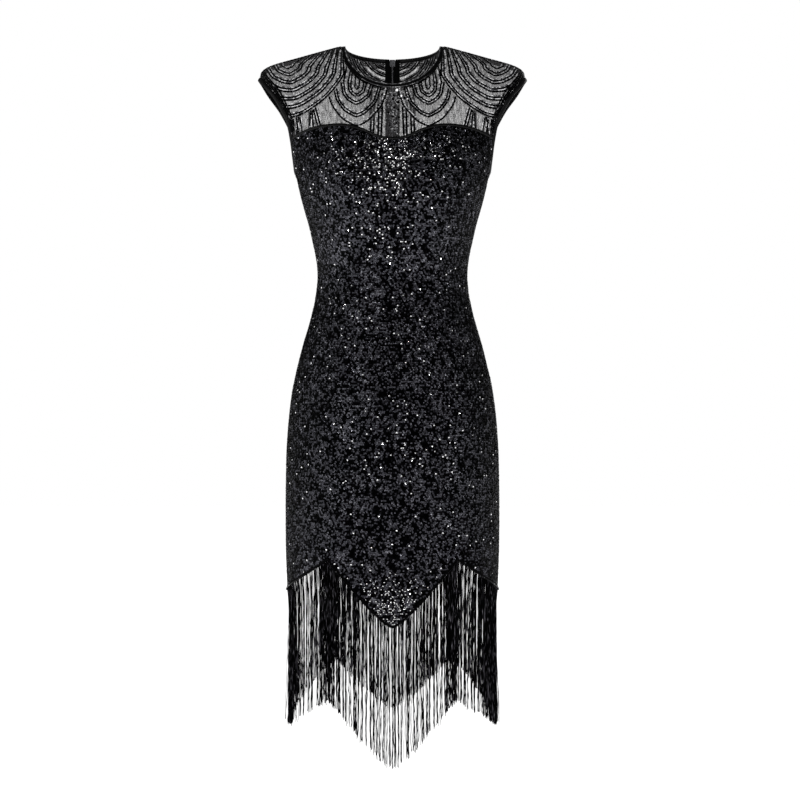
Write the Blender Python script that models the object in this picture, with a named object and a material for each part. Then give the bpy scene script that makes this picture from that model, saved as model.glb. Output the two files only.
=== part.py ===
"""Flapper dress: a fitted sequinned sheath with a sheer net yoke, cap shoulders and a fringed scallop hem.

The garment keeps the hollow form that it has when worn. The origin is the middle of the line between the
two high shoulder points, where the wearer's shoulders hold it. The front faces -Y and the hem hangs down -Z.
Every cloth piece is a grid of points with outward normals, and its wall lies behind them. Units are metres.
"""

import math
import random

import bmesh
import bpy
from mathutils import Vector

# Short steps that slopes are taken over
SHARE_STEP = 0.004
HEIGHT_STEP = 0.004
LINE_STEP = 0.02
ANGLE_STEP = 0.4
HALVINGS = 26

# Cloth and seams
BODY_WALL = 0.0015
NET_WALL = 0.0010
BINDING_WALL = 0.0022
TAPE_WALL = 0.0010
SEAM_GAP = 0.0003

# Neck and shoulders: the neck's seam and, inside it, the finished edge of its binding
NECK_SEAM = {"half_width": 0.0775, "shoulder_z": -0.0020, "front_depth": 0.0600, "front_z": -0.0765,
             "back_depth": 0.0640, "back_z": -0.0110}
NECK_EDGE = {"half_width": 0.0712, "shoulder_z": 0.0012, "front_depth": 0.0573, "front_z": -0.0712,
             "back_depth": 0.0625, "back_z": -0.0055}
NECK_SHARE = 0.42
NECK_FULLNESS = 0.7
BACK_NECK_DROP = 1.6
UNDERARM_HEIGHT = -0.203
ARMHOLE_PULL_START = 0.20
ARMHOLE_PULL_POWER = 1.5
EASING_REACH = 0.14
EASING_WEIGHTS = ((-1.0, 1), (-0.5, 2), (0.0, 2), (0.5, 2), (1.0, 1))
EASED_FROM_UNDERARM = 0.30
EASED_FROM_EDGE = 0.15
ARMHOLE_MIDDLE = (0.165, 0.0, -0.120)

# Directions in which a column meets the neck's centre and the shoulder's ridge
ARRIVAL = {"front": ((0, 0.48, 0.88), (0, 1, 0.10)), "back": ((0, -0.50, 0.87), (0, -1, 0.05))}
RIDGE_SOFTENING = 0.2

# Trims
ARMHOLE_BINDING_WIDTH = 0.0062
ARMHOLE_SEAM_GAP = 0.0006
NECK_SEAM_GAP = 0.0008
SWEETHEART_BINDING_WIDTH = 0.0042

# Bust cups
CUP_CENTRE_X = 0.080
CUP_CENTRE_Z = -0.238
CUP_RADIUS_X = 0.056
CUP_RADIUS_Z = 0.070
CUP_DEPTH = 0.014

# Zip
ZIP_BOTTOM = -0.520
ZIP_HALF_OPENING = 0.0024
ZIP_END_RUN = 0.012
CHAIN_WIDTH = 0.0042
CHAIN_WALL = 0.0016
TAPE_INNER_X = 0.0015
TAPE_OUTER_X = 0.0115
TAPE_GAP = 0.0005

# Zip slider and pull, in the frame of the centre back: x across, y out of the back, z up from the neck seam
SLIDER_TOP = 0.0055
SLIDER_HEIGHT = 0.0090
SLIDER_HALF_WIDTH = 0.0042
SLIDER_PLATE = 0.0012
SLIDER_REST = 0.0003
WEDGE_HALF_WIDTH = 0.0011
WEDGE_HEIGHT = 0.0032
ARCH_HALF_WIDTH = 0.0007
ARCH_BAR = 0.0010
ARCH_RISE = 0.0028
ARCH_INSET = 0.0006
PULL_HALF_WIDTH = 0.0024
PULL_WALL = 0.0009
PULL_LENGTH = 0.0240
PULL_END_HALF_WIDTH = 0.0016
WINDOW_HALF_WIDTH = 0.0012
WINDOW_LENGTH = 0.0062
PULL_END_STEPS = 6
BINDING_END_X = 0.0050

# Hem and fringe
HEM_ROUNDING = 1.33
STRANDS_EACH_SIDE = 56
FRINGE_LENGTH = 0.2035
HEADER_WIDTH = 0.0075
HEADER_BELOW_HEM = 0.0008
HEADER_WALL = 0.0016
STRAND_SHARE = 0.60
STRAND_TIP_SHARE = 0.55
STRAND_SWAY = 0.0008
LENGTH_SPREAD = 0.003
FRINGE_SPREAD = 89.8

# Grid of the panels
NECK_COLUMNS = 6
SHOULDER_COLUMNS = 6
SKIRT_ROWS = 9
WAIST_ROWS = 13
BODY_UPPER_ROWS = 5
SKIRT_TOP = -0.460
YOKE_ROWS = 8
COLUMN_CROWDING = 1.3
NEAR_ARMHOLE = 0.97
NEAR_NECK = 0.97
NEARLY = 1e-6
BINDING_LIFT = 0.0007
STRIP_END_SHARE = 0.1

# Level sections of the garment: height, half width, depth in front, depth behind, squareness of the outline
SECTIONS = (
    {"z": -0.190, "half_width": 0.1460, "front": 0.1112, "back": 0.0902, "power": 2.70},
    {"z": -0.230, "half_width": 0.1374, "front": 0.1112, "back": 0.0852, "power": 2.50},
    {"z": -0.285, "half_width": 0.1226, "front": 0.1012, "back": 0.0752, "power": 2.30},
    {"z": -0.345, "half_width": 0.1124, "front": 0.0872, "back": 0.0702, "power": 2.20},
    {"z": -0.400, "half_width": 0.1195, "front": 0.0892, "back": 0.0802, "power": 2.15},
    {"z": -0.460, "half_width": 0.1362, "front": 0.0982, "back": 0.1022, "power": 2.15},
    {"z": -0.520, "half_width": 0.1502, "front": 0.1057, "back": 0.1202, "power": 2.15},
    {"z": -0.590, "half_width": 0.1579, "front": 0.1097, "back": 0.1267, "power": 2.20},
    {"z": -0.660, "half_width": 0.1602, "front": 0.1107, "back": 0.1247, "power": 2.20},
    {"z": -0.755, "half_width": 0.1602, "front": 0.1097, "back": 0.1217, "power": 2.20},
    {"z": -0.850, "half_width": 0.1570, "front": 0.1077, "back": 0.1197, "power": 2.20},
    {"z": -1.080, "half_width": 0.1532, "front": 0.1042, "back": 0.1152, "power": 2.20},
)

# Shoulder seam from the neck to the tip of the cap, seen from the front
SHOULDER = (
    {"x": 0.0775, "z": -0.0020},
    {"x": 0.1100, "z": -0.0108},
    {"x": 0.1430, "z": -0.0200},
    {"x": 0.1765, "z": -0.0292},
    {"x": 0.1900, "z": -0.0345},
    {"x": 0.1970, "z": -0.0400},
    {"x": 0.2003, "z": -0.0480},
)

# Armhole seam from the underarm up to the tip of the cap, on the front; the back mirrors it, less deep
ARMHOLE = (
    {"x": 0.1430, "depth": 0.0000, "z": -0.2030},
    {"x": 0.1442, "depth": 0.0270, "z": -0.1965},
    {"x": 0.1450, "depth": 0.0440, "z": -0.1800},
    {"x": 0.1475, "depth": 0.0530, "z": -0.1500},
    {"x": 0.1520, "depth": 0.0555, "z": -0.1250},
    {"x": 0.1605, "depth": 0.0550, "z": -0.1055},
    {"x": 0.1715, "depth": 0.0525, "z": -0.0860},
    {"x": 0.1870, "depth": 0.0370, "z": -0.0660},
    {"x": 0.1965, "depth": 0.0180, "z": -0.0520},
    {"x": 0.2003, "depth": 0.0000, "z": -0.0480},
)
BACK_ARMHOLE_SHARE = 0.92

# Top edge of the sequinned front, from the centre to the armhole
SWEETHEART = (
    {"x": 0.000, "z": -0.1590},
    {"x": 0.020, "z": -0.1565},
    {"x": 0.045, "z": -0.1455},
    {"x": 0.070, "z": -0.1385},
    {"x": 0.100, "z": -0.1380},
    {"x": 0.125, "z": -0.1420},
    {"x": 0.160, "z": -0.1530},
)
BACK_TOP_CENTRE = -0.150
BACK_TOP_SIDE = -0.153

# Scallops of the hem round one half, from the centre front (0 degrees) to the centre back (180)
HEM = (
    {"angle": 0.0, "z": -0.862},
    {"angle": 45.0, "z": -0.767},
    {"angle": 91.0, "z": -0.824},
    {"angle": 138.0, "z": -0.746},
    {"angle": 180.0, "z": -0.830},
)

COLOURS = {
    "sequin": ((0.012, 0.012, 0.014), 0.30),
    "net": ((0.020, 0.019, 0.020), 0.70),
    "binding": ((0.010, 0.010, 0.011), 0.60),
    "fringe": ((0.013, 0.013, 0.014), 0.50),
    "zip_tape": ((0.012, 0.012, 0.013), 0.80),
    "zip_metal": ((0.200, 0.200, 0.210), 0.35),
}


def clear_scene():
    for old in list(bpy.data.objects):
        bpy.data.objects.remove(old, do_unlink=True)


def make_material(name):
    colour, roughness = COLOURS[name]
    material = bpy.data.materials.new(name)
    material.use_nodes = True
    shader = material.node_tree.nodes["Principled BSDF"]
    shader.inputs["Base Color"].default_value = (*colour, 1.0)
    shader.inputs["Roughness"].default_value = roughness
    shader.inputs["Metallic"].default_value = 1.0 if name == "zip_metal" else 0.0
    return material


def curve_through(values, places, place):
    """A smooth curve through values at rising places, read at one place (cubic pieces)."""
    last = len(places) - 1
    place = min(max(place, places[0]), places[last])
    index = max(i for i in range(last) if places[i] <= place)
    slopes = []
    for knot in (index, index + 1):
        before, after = max(knot - 1, 0), min(knot + 1, last)
        slopes.append((values[after] - values[before]) / (places[after] - places[before]))
    step = places[index + 1] - places[index]
    return hermite(values[index], values[index + 1], slopes[0] * step, slopes[1] * step,
                   (place - places[index]) / step)


def hermite(start, end, start_slope, end_slope, share):
    square, cube = share**2, share**3
    return (start * (2 * cube - 3 * square + 1) + end * (3 * square - 2 * cube)
            + start_slope * (cube - 2 * square + share) + end_slope * (cube - square))


def read_table(table, key, column, place):
    return curve_through([row[column] for row in table], [row[key] for row in table], place)


def smooth_step(share):
    share = min(max(share, 0.0), 1.0)
    return share * share * (3 - 2 * share)


def section_at(z):
    rising = [-row["z"] for row in SECTIONS]
    return {column: curve_through([row[column] for row in SECTIONS], rising, -z)
            for column in ("half_width", "front", "back", "power")}


def torso_point(angle, z):
    """A point of the sheath. The angle is 0 at the centre front, 90 at +X and 180 at the centre back."""
    section = section_at(z)
    across, forward = math.sin(math.radians(angle)), math.cos(math.radians(angle))
    depth = section["front"] if forward > 0 else section["back"]
    power = section["power"]
    reach = (abs(across / section["half_width"]) ** power + abs(forward / depth) ** power) ** (-1 / power)
    x, y = reach * across, -reach * forward
    if forward > 0:
        cup = ((abs(x) - CUP_CENTRE_X) / CUP_RADIUS_X) ** 2 + ((z - CUP_CENTRE_Z) / CUP_RADIUS_Z) ** 2
        y -= CUP_DEPTH * math.exp(-cup) * forward**0.5
    return Vector((x, y, z))


def neck_point(share, behind, line=NECK_SEAM):
    """A line round the neck, from the centre (0) to the high shoulder point (1)."""
    turn = math.radians(90 * share)
    across, along = math.sin(turn), math.cos(turn)
    x = line["half_width"] * across
    if behind:
        height = line["shoulder_z"] + (line["back_z"] - line["shoulder_z"]) * along**BACK_NECK_DROP
        return Vector((x, line["back_depth"] * along**NECK_FULLNESS, height))
    height = line["shoulder_z"] + (line["front_z"] - line["shoulder_z"]) * along
    return Vector((x, -line["front_depth"] * along**NECK_FULLNESS, height))


def shoulder_point(share):
    lengths = [0.0]
    for row, following in zip(SHOULDER, SHOULDER[1:]):
        lengths.append(lengths[-1] + math.hypot(following["x"] - row["x"], following["z"] - row["z"]))
    place = share * lengths[-1]
    return Vector((curve_through([row["x"] for row in SHOULDER], lengths, place), 0.0,
                   curve_through([row["z"] for row in SHOULDER], lengths, place)))


def armhole_point(share, behind):
    lengths = [0.0]
    for row, following in zip(ARMHOLE, ARMHOLE[1:]):
        step = Vector([following[key] - row[key] for key in ("x", "depth", "z")])
        lengths.append(lengths[-1] + step.length)
    place = share * lengths[-1]
    x, depth, z = (curve_through([row[key] for row in ARMHOLE], lengths, place)
                   for key in ("x", "depth", "z"))
    return Vector((x, depth * BACK_ARMHOLE_SHARE if behind else -depth, z))


def armhole_angle(share, behind):
    """The angle, from the front or the back, at which the underarm's section is as deep as the armhole."""
    section = section_at(UNDERARM_HEIGHT)
    depth = abs(armhole_point(share, behind).y)
    filled = (depth / section["back" if behind else "front"]) ** section["power"]
    return math.degrees(math.atan2(section["half_width"] * (1 - filled) ** (1 / section["power"]), depth))


def column_point(across, share, behind):
    """A column from the underarm's section to the neck or the shoulder seam, before the armhole's pull."""
    turn = across * armhole_angle(share, behind)
    angle = 180 - turn if behind else turn
    bottom = torso_point(angle, UNDERARM_HEIGHT)
    below = torso_point(angle, UNDERARM_HEIGHT - HEIGHT_STEP)
    if across <= NECK_SHARE:
        top = neck_point(across / NECK_SHARE, behind)
    else:
        top = shoulder_point((across - NECK_SHARE) / (1 - NECK_SHARE))
    over = smooth_step(across / NECK_SHARE)
    at_neck, at_ridge = ARRIVAL["back" if behind else "front"]
    arrival = Vector(at_neck).lerp(Vector(at_ridge), over).normalized() * (1 - RIDGE_SOFTENING * over)
    reach = (top - bottom).length
    return hermite(bottom, top, (bottom - below).normalized() * reach, arrival * reach, share)


def raw_upper_point(across, share, behind):
    """The garment above the underarm. across: 0 at the centre, 1 at the armhole. share: 0 at the underarm's
    level, 1 at the neck and the shoulder seam."""
    pull = max(0.0, (across - ARMHOLE_PULL_START) / (1 - ARMHOLE_PULL_START)) ** ARMHOLE_PULL_POWER
    return (column_point(across, share, behind)
            + pull * (armhole_point(share, behind) - column_point(1, share, behind)))


def upper_point(across, share, behind):
    """The surface above the underarm, with its columns eased into each other away from the edges."""
    reach = EASING_REACH * (1 - share**4) * min(1.0, share / EASED_FROM_UNDERARM)
    reach *= min(1.0, across / EASED_FROM_EDGE, (1 - across) / EASED_FROM_EDGE)
    if reach <= 0:
        return raw_upper_point(across, share, behind)
    total = Vector((0, 0, 0))
    for place, weight in EASING_WEIGHTS:
        total += raw_upper_point(across + place * reach, share, behind) * weight
    return total / sum(weight for place, weight in EASING_WEIGHTS)


def surface_point(across, level, behind):
    """level below 0 is a height under the underarm in metres, level 0 to 1 is the upper part's share."""
    if level < 0:
        return torso_point(180 - 90 * across if behind else 90 * across, UNDERARM_HEIGHT + level)
    return upper_point(across, level, behind)


def surface_normal(across, level, behind):
    """The outward normal, from two short steps along the surface."""
    side = (surface_point(min(across + SHARE_STEP, 1), level, behind)
            - surface_point(max(across - SHARE_STEP, 0), level, behind))
    up = (surface_point(across, min(level + SHARE_STEP, 1), behind)
          - surface_point(across, level - SHARE_STEP, behind))
    normal = side.cross(up).normalized()
    return -normal if behind else normal


def level_where(across, behind, passed):
    """The level on one column at which the test turns true, by halving."""
    low, high = -LINE_STEP, 1.0
    for _ in range(HALVINGS):
        middle = (low + high) / 2
        if passed(surface_point(across, middle, behind)):
            high = middle
        else:
            low = middle
    return low


def bodice_top(across, behind):
    """The level of the seam between the sequinned cloth and the net."""
    if behind:
        height = BACK_TOP_CENTRE + (BACK_TOP_SIDE - BACK_TOP_CENTRE) * across
        return level_where(across, True, lambda point: point.z > height)
    return level_where(across, False, lambda point: point.z > read_table(SWEETHEART, "x", "z", point.x))


def hem_height(angle):
    """The scalloped hem: round at its low points and peaked between them."""
    row, following = next(pair for pair in zip(HEM, HEM[1:]) if angle <= pair[1]["angle"])
    low, peak = sorted((row, following), key=lambda end: end["z"])
    share = (angle - low["angle"]) / (peak["angle"] - low["angle"])
    return low["z"] + (peak["z"] - low["z"]) * share**HEM_ROUNDING


def mirrored(point, sign):
    return Vector((point.x * sign, point.y, point.z))


def sheet_object(name, grid, wall, material, lift=0.0, closed=False):
    """A wall behind a grid of (point, outward normal) pairs. Its outer face is lifted off the points."""
    builder = bmesh.new()
    faces = [[[builder.verts.new(point + normal * height) for point, normal in row] for row in grid]
             for height in (lift, lift - wall)]
    for rows in faces:
        for row, following in list(zip(rows, rows[1:])) + ([(rows[-1], rows[0])] if closed else []):
            for i in range(len(row) - 1):
                builder.faces.new((row[i], row[i + 1], following[i + 1], following[i]))
    outer, inner = faces
    rims = [([row[end] for row in outer], [row[end] for row in inner]) for end in (0, -1)]
    for top, bottom in rims:
        if closed:
            top.append(top[0])
            bottom.append(bottom[0])
    if not closed:
        rims += [(outer[end], inner[end]) for end in (0, -1)]
    for top, bottom in rims:
        for i in range(len(top) - 1):
            builder.faces.new((top[i], top[i + 1], bottom[i + 1], bottom[i]))
    bmesh.ops.recalc_face_normals(builder, faces=builder.faces)
    mesh = bpy.data.meshes.new(name)
    builder.to_mesh(mesh)
    builder.free()
    mesh.materials.append(material)
    made = bpy.data.objects.new(name, mesh)
    bpy.context.scene.collection.objects.link(made)


def wall_normal(across, level, behind):
    """The outward normal that a wall follows. On a seam it lies in the seam's plane, so both walls agree."""
    normal = surface_normal(min(across, NEAR_ARMHOLE) if level > 0 else across, level, behind)
    if across == 0:
        normal.x = 0
    if (across == 1 and level <= 0) or (across > NECK_SHARE - NEARLY and level > 1 - NEARLY):
        normal.y = 0
    return normal.normalized()


def panel_pair(across, sign, behind, level):
    """A point of a panel with its normal. At the side seam and at the zip it stands off the seam's line."""
    point = surface_point(across, level, behind)
    if across == 1:
        point.y += SEAM_GAP / 2 if behind else -SEAM_GAP / 2
    if across == 0 and behind:
        inside_zip = smooth_step((point.z - ZIP_BOTTOM) / ZIP_END_RUN)
        point.x = SEAM_GAP / 2 + (ZIP_HALF_OPENING - SEAM_GAP / 2) * inside_zip
    return mirrored(point, sign), mirrored(wall_normal(across, level, behind), sign)


def crowded(count):
    """Shares from 0 to 1, closer together near 1."""
    return [1 - (1 - i / count) ** COLUMN_CROWDING for i in range(count + 1)]


def across_steps():
    """Columns of one half, with one on the high shoulder point."""
    steps = [NECK_SHARE * share for share in crowded(NECK_COLUMNS)]
    return steps + [NECK_SHARE + (1 - NECK_SHARE) * share for share in crowded(SHOULDER_COLUMNS)[1:]]


def body_levels(across, behind):
    """Levels of one column of a sequinned panel, from the hem to its top.

    The row before the last lies a strip's width under the top, for the strip that is sewn there.
    """
    angle = 180 - 90 * across if behind else 90 * across
    hem_level = hem_height(angle) - UNDERARM_HEIGHT
    top_level = bodice_top(across, behind)
    top_height = surface_point(across, top_level, behind).z
    strip_level = level_where(across, behind, lambda point: point.z > top_height - SWEETHEART_BINDING_WIDTH)
    skirt_level = SKIRT_TOP - UNDERARM_HEIGHT
    lower = [hem_level + (skirt_level - hem_level) * i / SKIRT_ROWS for i in range(SKIRT_ROWS)]
    lower += [skirt_level * (1 - i / WAIST_ROWS) for i in range(WAIST_ROWS)]
    upper = [strip_level * i / BODY_UPPER_ROWS for i in range(BODY_UPPER_ROWS + 1)]
    return lower + upper + [top_level]


def body_column(across, sign, behind):
    pairs = [panel_pair(across, sign, behind, level) for level in body_levels(across, behind)]
    pairs[-1][0].z -= SEAM_GAP / 2
    return pairs


def yoke_levels(across, behind):
    low_level = bodice_top(across, behind)
    return [low_level + (1 - low_level) * i / YOKE_ROWS for i in range(YOKE_ROWS + 1)]


def yoke_column(across, sign, behind):
    """One column of a net panel, from the sequinned cloth up to the neck or the shoulder seam."""
    pairs = [panel_pair(across, sign, behind, level) for level in yoke_levels(across, behind)]
    pairs[0][0].z += SEAM_GAP / 2
    if across > NECK_SHARE - NEARLY:
        pairs[-1][0].y += SEAM_GAP / 2 if behind else -SEAM_GAP / 2
    return pairs


def make_panels(column_of, names, wall, material):
    """A whole front and two half backs from the same column function."""
    steps = across_steps()
    front = [column_of(across, 1, False) for across in reversed(steps)]
    front += [column_of(across, -1, False) for across in steps[1:]]
    sheet_object(names[0], front, wall, material)
    left = [column_of(across, -1, True) for across in reversed(steps)]
    sheet_object(names[1], left, wall, material)
    right = [column_of(across, 1, True) for across in steps]
    sheet_object(names[2], right, wall, material)


def make_neck_binding(material):
    """A strip between the neck's seam and its finished edge, open for the zip at the centre back."""
    shares = crowded(NECK_COLUMNS)
    stations = [(share, -1, True) for share in shares]
    stations += [(share, -1, False) for share in reversed(shares[:-1])]
    stations += [(share, 1, False) for share in shares[1:]]
    stations += [(share, 1, True) for share in reversed(shares[:-1])]
    seam_row, edge_row = [], []
    for share, sign, behind in stations:
        seam, edge = neck_point(share, behind), neck_point(share, behind, NECK_EDGE)
        normal = mirrored(wall_normal(share * NECK_SHARE, 1, behind), sign)
        along = neck_point(min(share + LINE_STEP, 1), behind) - neck_point(max(share - LINE_STEP, 0), behind)
        away = (edge - seam) - (edge - seam).project(along)
        seam_row.append((mirrored(seam + away.normalized() * NECK_SEAM_GAP, sign), normal))
        edge_row.append((mirrored(edge, sign), normal))
    for row in (seam_row, edge_row):
        for end, beside in ((0, 1), (-1, -2)):
            point = row[end][0].lerp(row[beside][0], BINDING_END_X / abs(row[beside][0].x))
            row[end] = (point, row[end][1])
    sheet_object("neck_binding", [seam_row, edge_row], BINDING_WALL, material, BINDING_LIFT)


def armhole_outward(share, behind):
    """From the armhole seam into the hole, square to the edge and to the panel's wall."""
    ahead = (armhole_point(min(share + LINE_STEP, 1), behind)
             - armhole_point(max(share - LINE_STEP, 0), behind))
    if share in (0, 1):
        ahead = Vector((0, 1, 0))
    outward = wall_normal(1, share, behind).cross(ahead).normalized()
    inside = Vector(ARMHOLE_MIDDLE) - armhole_point(share, behind)
    return outward if outward.dot(inside) > 0 else -outward


def armhole_shares(behind):
    """The shares at which the two panels' rows reach the armhole, from the underarm to the tip of the cap."""
    return body_levels(1, behind)[-BODY_UPPER_ROWS - 2:] + yoke_levels(1, behind)[1:]


def make_armhole_binding(name, sign, material):
    stations = [(share, False) for share in armhole_shares(False)]
    stations += [(share, True) for share in reversed(armhole_shares(True)[1:-1])]
    grid = []
    for share, behind in stations:
        edge, outward = armhole_point(share, behind), armhole_outward(share, behind)
        normal = mirrored(wall_normal(1, share, behind), sign)
        pair = (edge + outward * ARMHOLE_SEAM_GAP, edge + outward * ARMHOLE_BINDING_WIDTH)
        grid.append([(mirrored(point, sign), normal) for point in pair])
    sheet_object(name, grid, BINDING_WALL, material, BINDING_LIFT, closed=True)


def make_sweetheart_binding(material):
    """A flat strip on the top edge of the front, made from the panel's own points, moved out."""
    steps = across_steps()
    stations = [(across, -1) for across in reversed(steps[1:])] + [(across, 1) for across in steps]
    rows = [[body_column(across, sign, False)[index] for across, sign in stations] for index in (-2, -1)]
    for row in rows:
        for end, beside in ((0, 1), (-1, -2)):
            row[end] = (row[end][0].lerp(row[beside][0], STRIP_END_SHARE), row[end][1])
    sheet_object("sweetheart_binding", rows, TAPE_WALL, material, SEAM_GAP + TAPE_WALL)


def outward_at(angle, z):
    """The level direction that points away from the sheath."""
    along = torso_point(min(angle + ANGLE_STEP, 180), z) - torso_point(max(angle - ANGLE_STEP, 0), z)
    return Vector((along.y, -along.x, 0)).normalized()


def header_corners(angle):
    """The header tape's section: lower inner, lower outer, upper outer and upper inner corner."""
    hem = hem_height(angle)
    before, after = max(angle - ANGLE_STEP, 0), min(angle + ANGLE_STEP, 180)
    run = (torso_point(after, hem) - torso_point(before, hem)).length
    rise = hem_height(after) - hem_height(before)
    height = HEADER_WIDTH * math.hypot(1, rise / run)
    low = torso_point(angle, hem - HEADER_BELOW_HEM)
    high = torso_point(angle, hem - HEADER_BELOW_HEM + height)
    out = outward_at(angle, hem)
    return (low + out * SEAM_GAP, low + out * (SEAM_GAP + HEADER_WALL),
            high + out * (SEAM_GAP + HEADER_WALL), high + out * SEAM_GAP)


def make_fringe(name, behind, material):
    """A header tape outside the hem, with its strands drawn down from the tape's lower edge."""
    chance = random.Random(name)
    count = 2 * STRANDS_EACH_SIDE
    turns = [-FRINGE_SPREAD]
    for i in range(count):
        for share in ((1 - STRAND_SHARE) / 2, (1 + STRAND_SHARE) / 2):
            turns.append(FRINGE_SPREAD * (2 * (i + share) / count - 1))
    turns.append(FRINGE_SPREAD)
    angles = [180 - abs(turn) if behind else abs(turn) for turn in turns]
    signs = [1 if turn > 0 else -1 for turn in turns]
    builder = bmesh.new()
    profile = [[builder.verts.new(mirrored(corner, sign)) for corner in header_corners(angle)]
               for angle, sign in zip(angles, signs)]
    roots = []
    for i, (here, there) in enumerate(zip(profile, profile[1:])):
        for k in range(4):
            face = builder.faces.new((here[k], here[(k + 1) % 4], there[(k + 1) % 4], there[k]))
            if k == 0 and i % 2 == 1:
                roots.append((face, (angles[i] + angles[i + 1]) / 2, signs[i]))
    builder.faces.new(reversed(profile[0]))
    builder.faces.new(profile[-1])
    for face, angle, sign in roots:
        middle = face.calc_center_median()
        length = FRINGE_LENGTH + chance.uniform(-LENGTH_SPREAD, LENGTH_SPREAD)
        tip = torso_point(angle, middle.z - length)
        tip += outward_at(angle, middle.z) * (SEAM_GAP + HEADER_WALL / 2)
        tip = mirrored(tip, sign) + Vector((chance.uniform(-STRAND_SWAY, STRAND_SWAY), 0, 0))
        drawn = bmesh.ops.extrude_discrete_faces(builder, faces=[face])["faces"][0]
        for vert in drawn.verts:
            vert.co = tip + (vert.co - middle) * STRAND_TIP_SHARE
            vert.co.z = tip.z
    bmesh.ops.recalc_face_normals(builder, faces=builder.faces)
    mesh = bpy.data.meshes.new(name)
    builder.to_mesh(mesh)
    builder.free()
    mesh.materials.append(material)
    made = bpy.data.objects.new(name, mesh)
    bpy.context.scene.collection.objects.link(made)


def zip_levels():
    """The rows of the back panels along the zip, from the one under its lower end up to the neck."""
    rows = body_levels(0, True)[:-1] + yoke_levels(0, True)
    first = min(i for i, level in enumerate(rows) if level > ZIP_BOTTOM - UNDERARM_HEIGHT)
    return rows[first - 1:]


def centre_back_row(x, levels):
    """A line down the back at a distance from its centre."""
    row = []
    for level in levels:
        low, high = 0.0, NECK_SHARE
        for _ in range(HALVINGS):
            middle = (low + high) / 2
            low, high = (middle, high) if surface_point(middle, level, True).x < abs(x) else (low, middle)
        centre = surface_point(low, level, True)
        row.append((Vector((x, centre.y, centre.z)), wall_normal(0, level, True)))
    return row


def make_zip_strips(tape_material, chain_material):
    levels = zip_levels()
    for name, sign in (("zip_tape_left", -1), ("zip_tape_right", 1)):
        rows = [centre_back_row(sign * x, levels) for x in (TAPE_INNER_X, TAPE_OUTER_X)]
        sheet_object(name, rows, TAPE_WALL, tape_material, -BODY_WALL - TAPE_GAP)
    rows = [centre_back_row(x, levels[1:]) for x in (CHAIN_WIDTH / 2, -CHAIN_WIDTH / 2)]
    top, below = surface_point(0, 1, True), surface_point(0, NEAR_NECK, True)
    rise = (top - below).normalized() * (SLIDER_TOP - WEDGE_HEIGHT - 2 * SEAM_GAP)
    for row in rows:
        row.append((row[-1][0] + rise, row[-1][1]))
    sheet_object("zip_chain", rows, CHAIN_WALL, chain_material)


def box_object(name, low, high, helper=False):
    mesh = bpy.data.meshes.new(name)
    builder = bmesh.new()
    bmesh.ops.create_cube(builder, size=1.0)
    for vert in builder.verts:
        for axis in range(3):
            vert.co[axis] = low[axis] + (vert.co[axis] + 0.5) * (high[axis] - low[axis])
    builder.to_mesh(mesh)
    builder.free()
    made = bpy.data.objects.new(name, mesh)
    bpy.context.scene.collection.objects.link(made)
    if helper:
        made.hide_render = True
        made.display_type = "WIRE"
    return made


def combine(target, helper, operation):
    modifier = target.modifiers.new(helper.name, "BOOLEAN")
    modifier.operation = operation
    modifier.object = helper


def make_slider(frame, material):
    """Two plates joined by a wedge above the chain's end, with an arch that the pull hangs in."""
    bottom = SLIDER_TOP - SLIDER_HEIGHT
    face = SLIDER_REST + SLIDER_PLATE
    inner_face = -(BODY_WALL + TAPE_GAP + TAPE_WALL + SLIDER_REST)
    slider = box_object("zip_slider", (-SLIDER_HALF_WIDTH, SLIDER_REST, bottom),
                        (SLIDER_HALF_WIDTH, face, SLIDER_TOP))
    inner_plate = box_object("slider_inner_plate", (-SLIDER_HALF_WIDTH, inner_face - SLIDER_PLATE, bottom),
                             (SLIDER_HALF_WIDTH, inner_face, SLIDER_TOP), helper=True)
    wedge = box_object("slider_wedge",
                       (-WEDGE_HALF_WIDTH, inner_face - SLIDER_PLATE / 2, SLIDER_TOP - WEDGE_HEIGHT),
                       (WEDGE_HALF_WIDTH, face - SLIDER_PLATE / 2, SLIDER_TOP - SLIDER_PLATE / 4),
                       helper=True)
    arch = box_object("slider_arch", (-ARCH_HALF_WIDTH, face - SLIDER_PLATE / 2, bottom + ARCH_INSET),
                      (ARCH_HALF_WIDTH, face + ARCH_RISE, SLIDER_TOP - ARCH_INSET), helper=True)
    gap = box_object("slider_arch_gap", (-2 * ARCH_HALF_WIDTH, face, bottom + ARCH_INSET + ARCH_BAR),
                     (2 * ARCH_HALF_WIDTH, face + ARCH_RISE - ARCH_BAR, SLIDER_TOP - ARCH_INSET - ARCH_BAR),
                     helper=True)
    combine(arch, gap, "DIFFERENCE")
    for helper in (inner_plate, wedge, arch):
        combine(slider, helper, "UNION")
    slider.data.materials.append(material)
    for piece in (slider, inner_plate, wedge, arch, gap):
        piece.parent = frame


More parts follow.
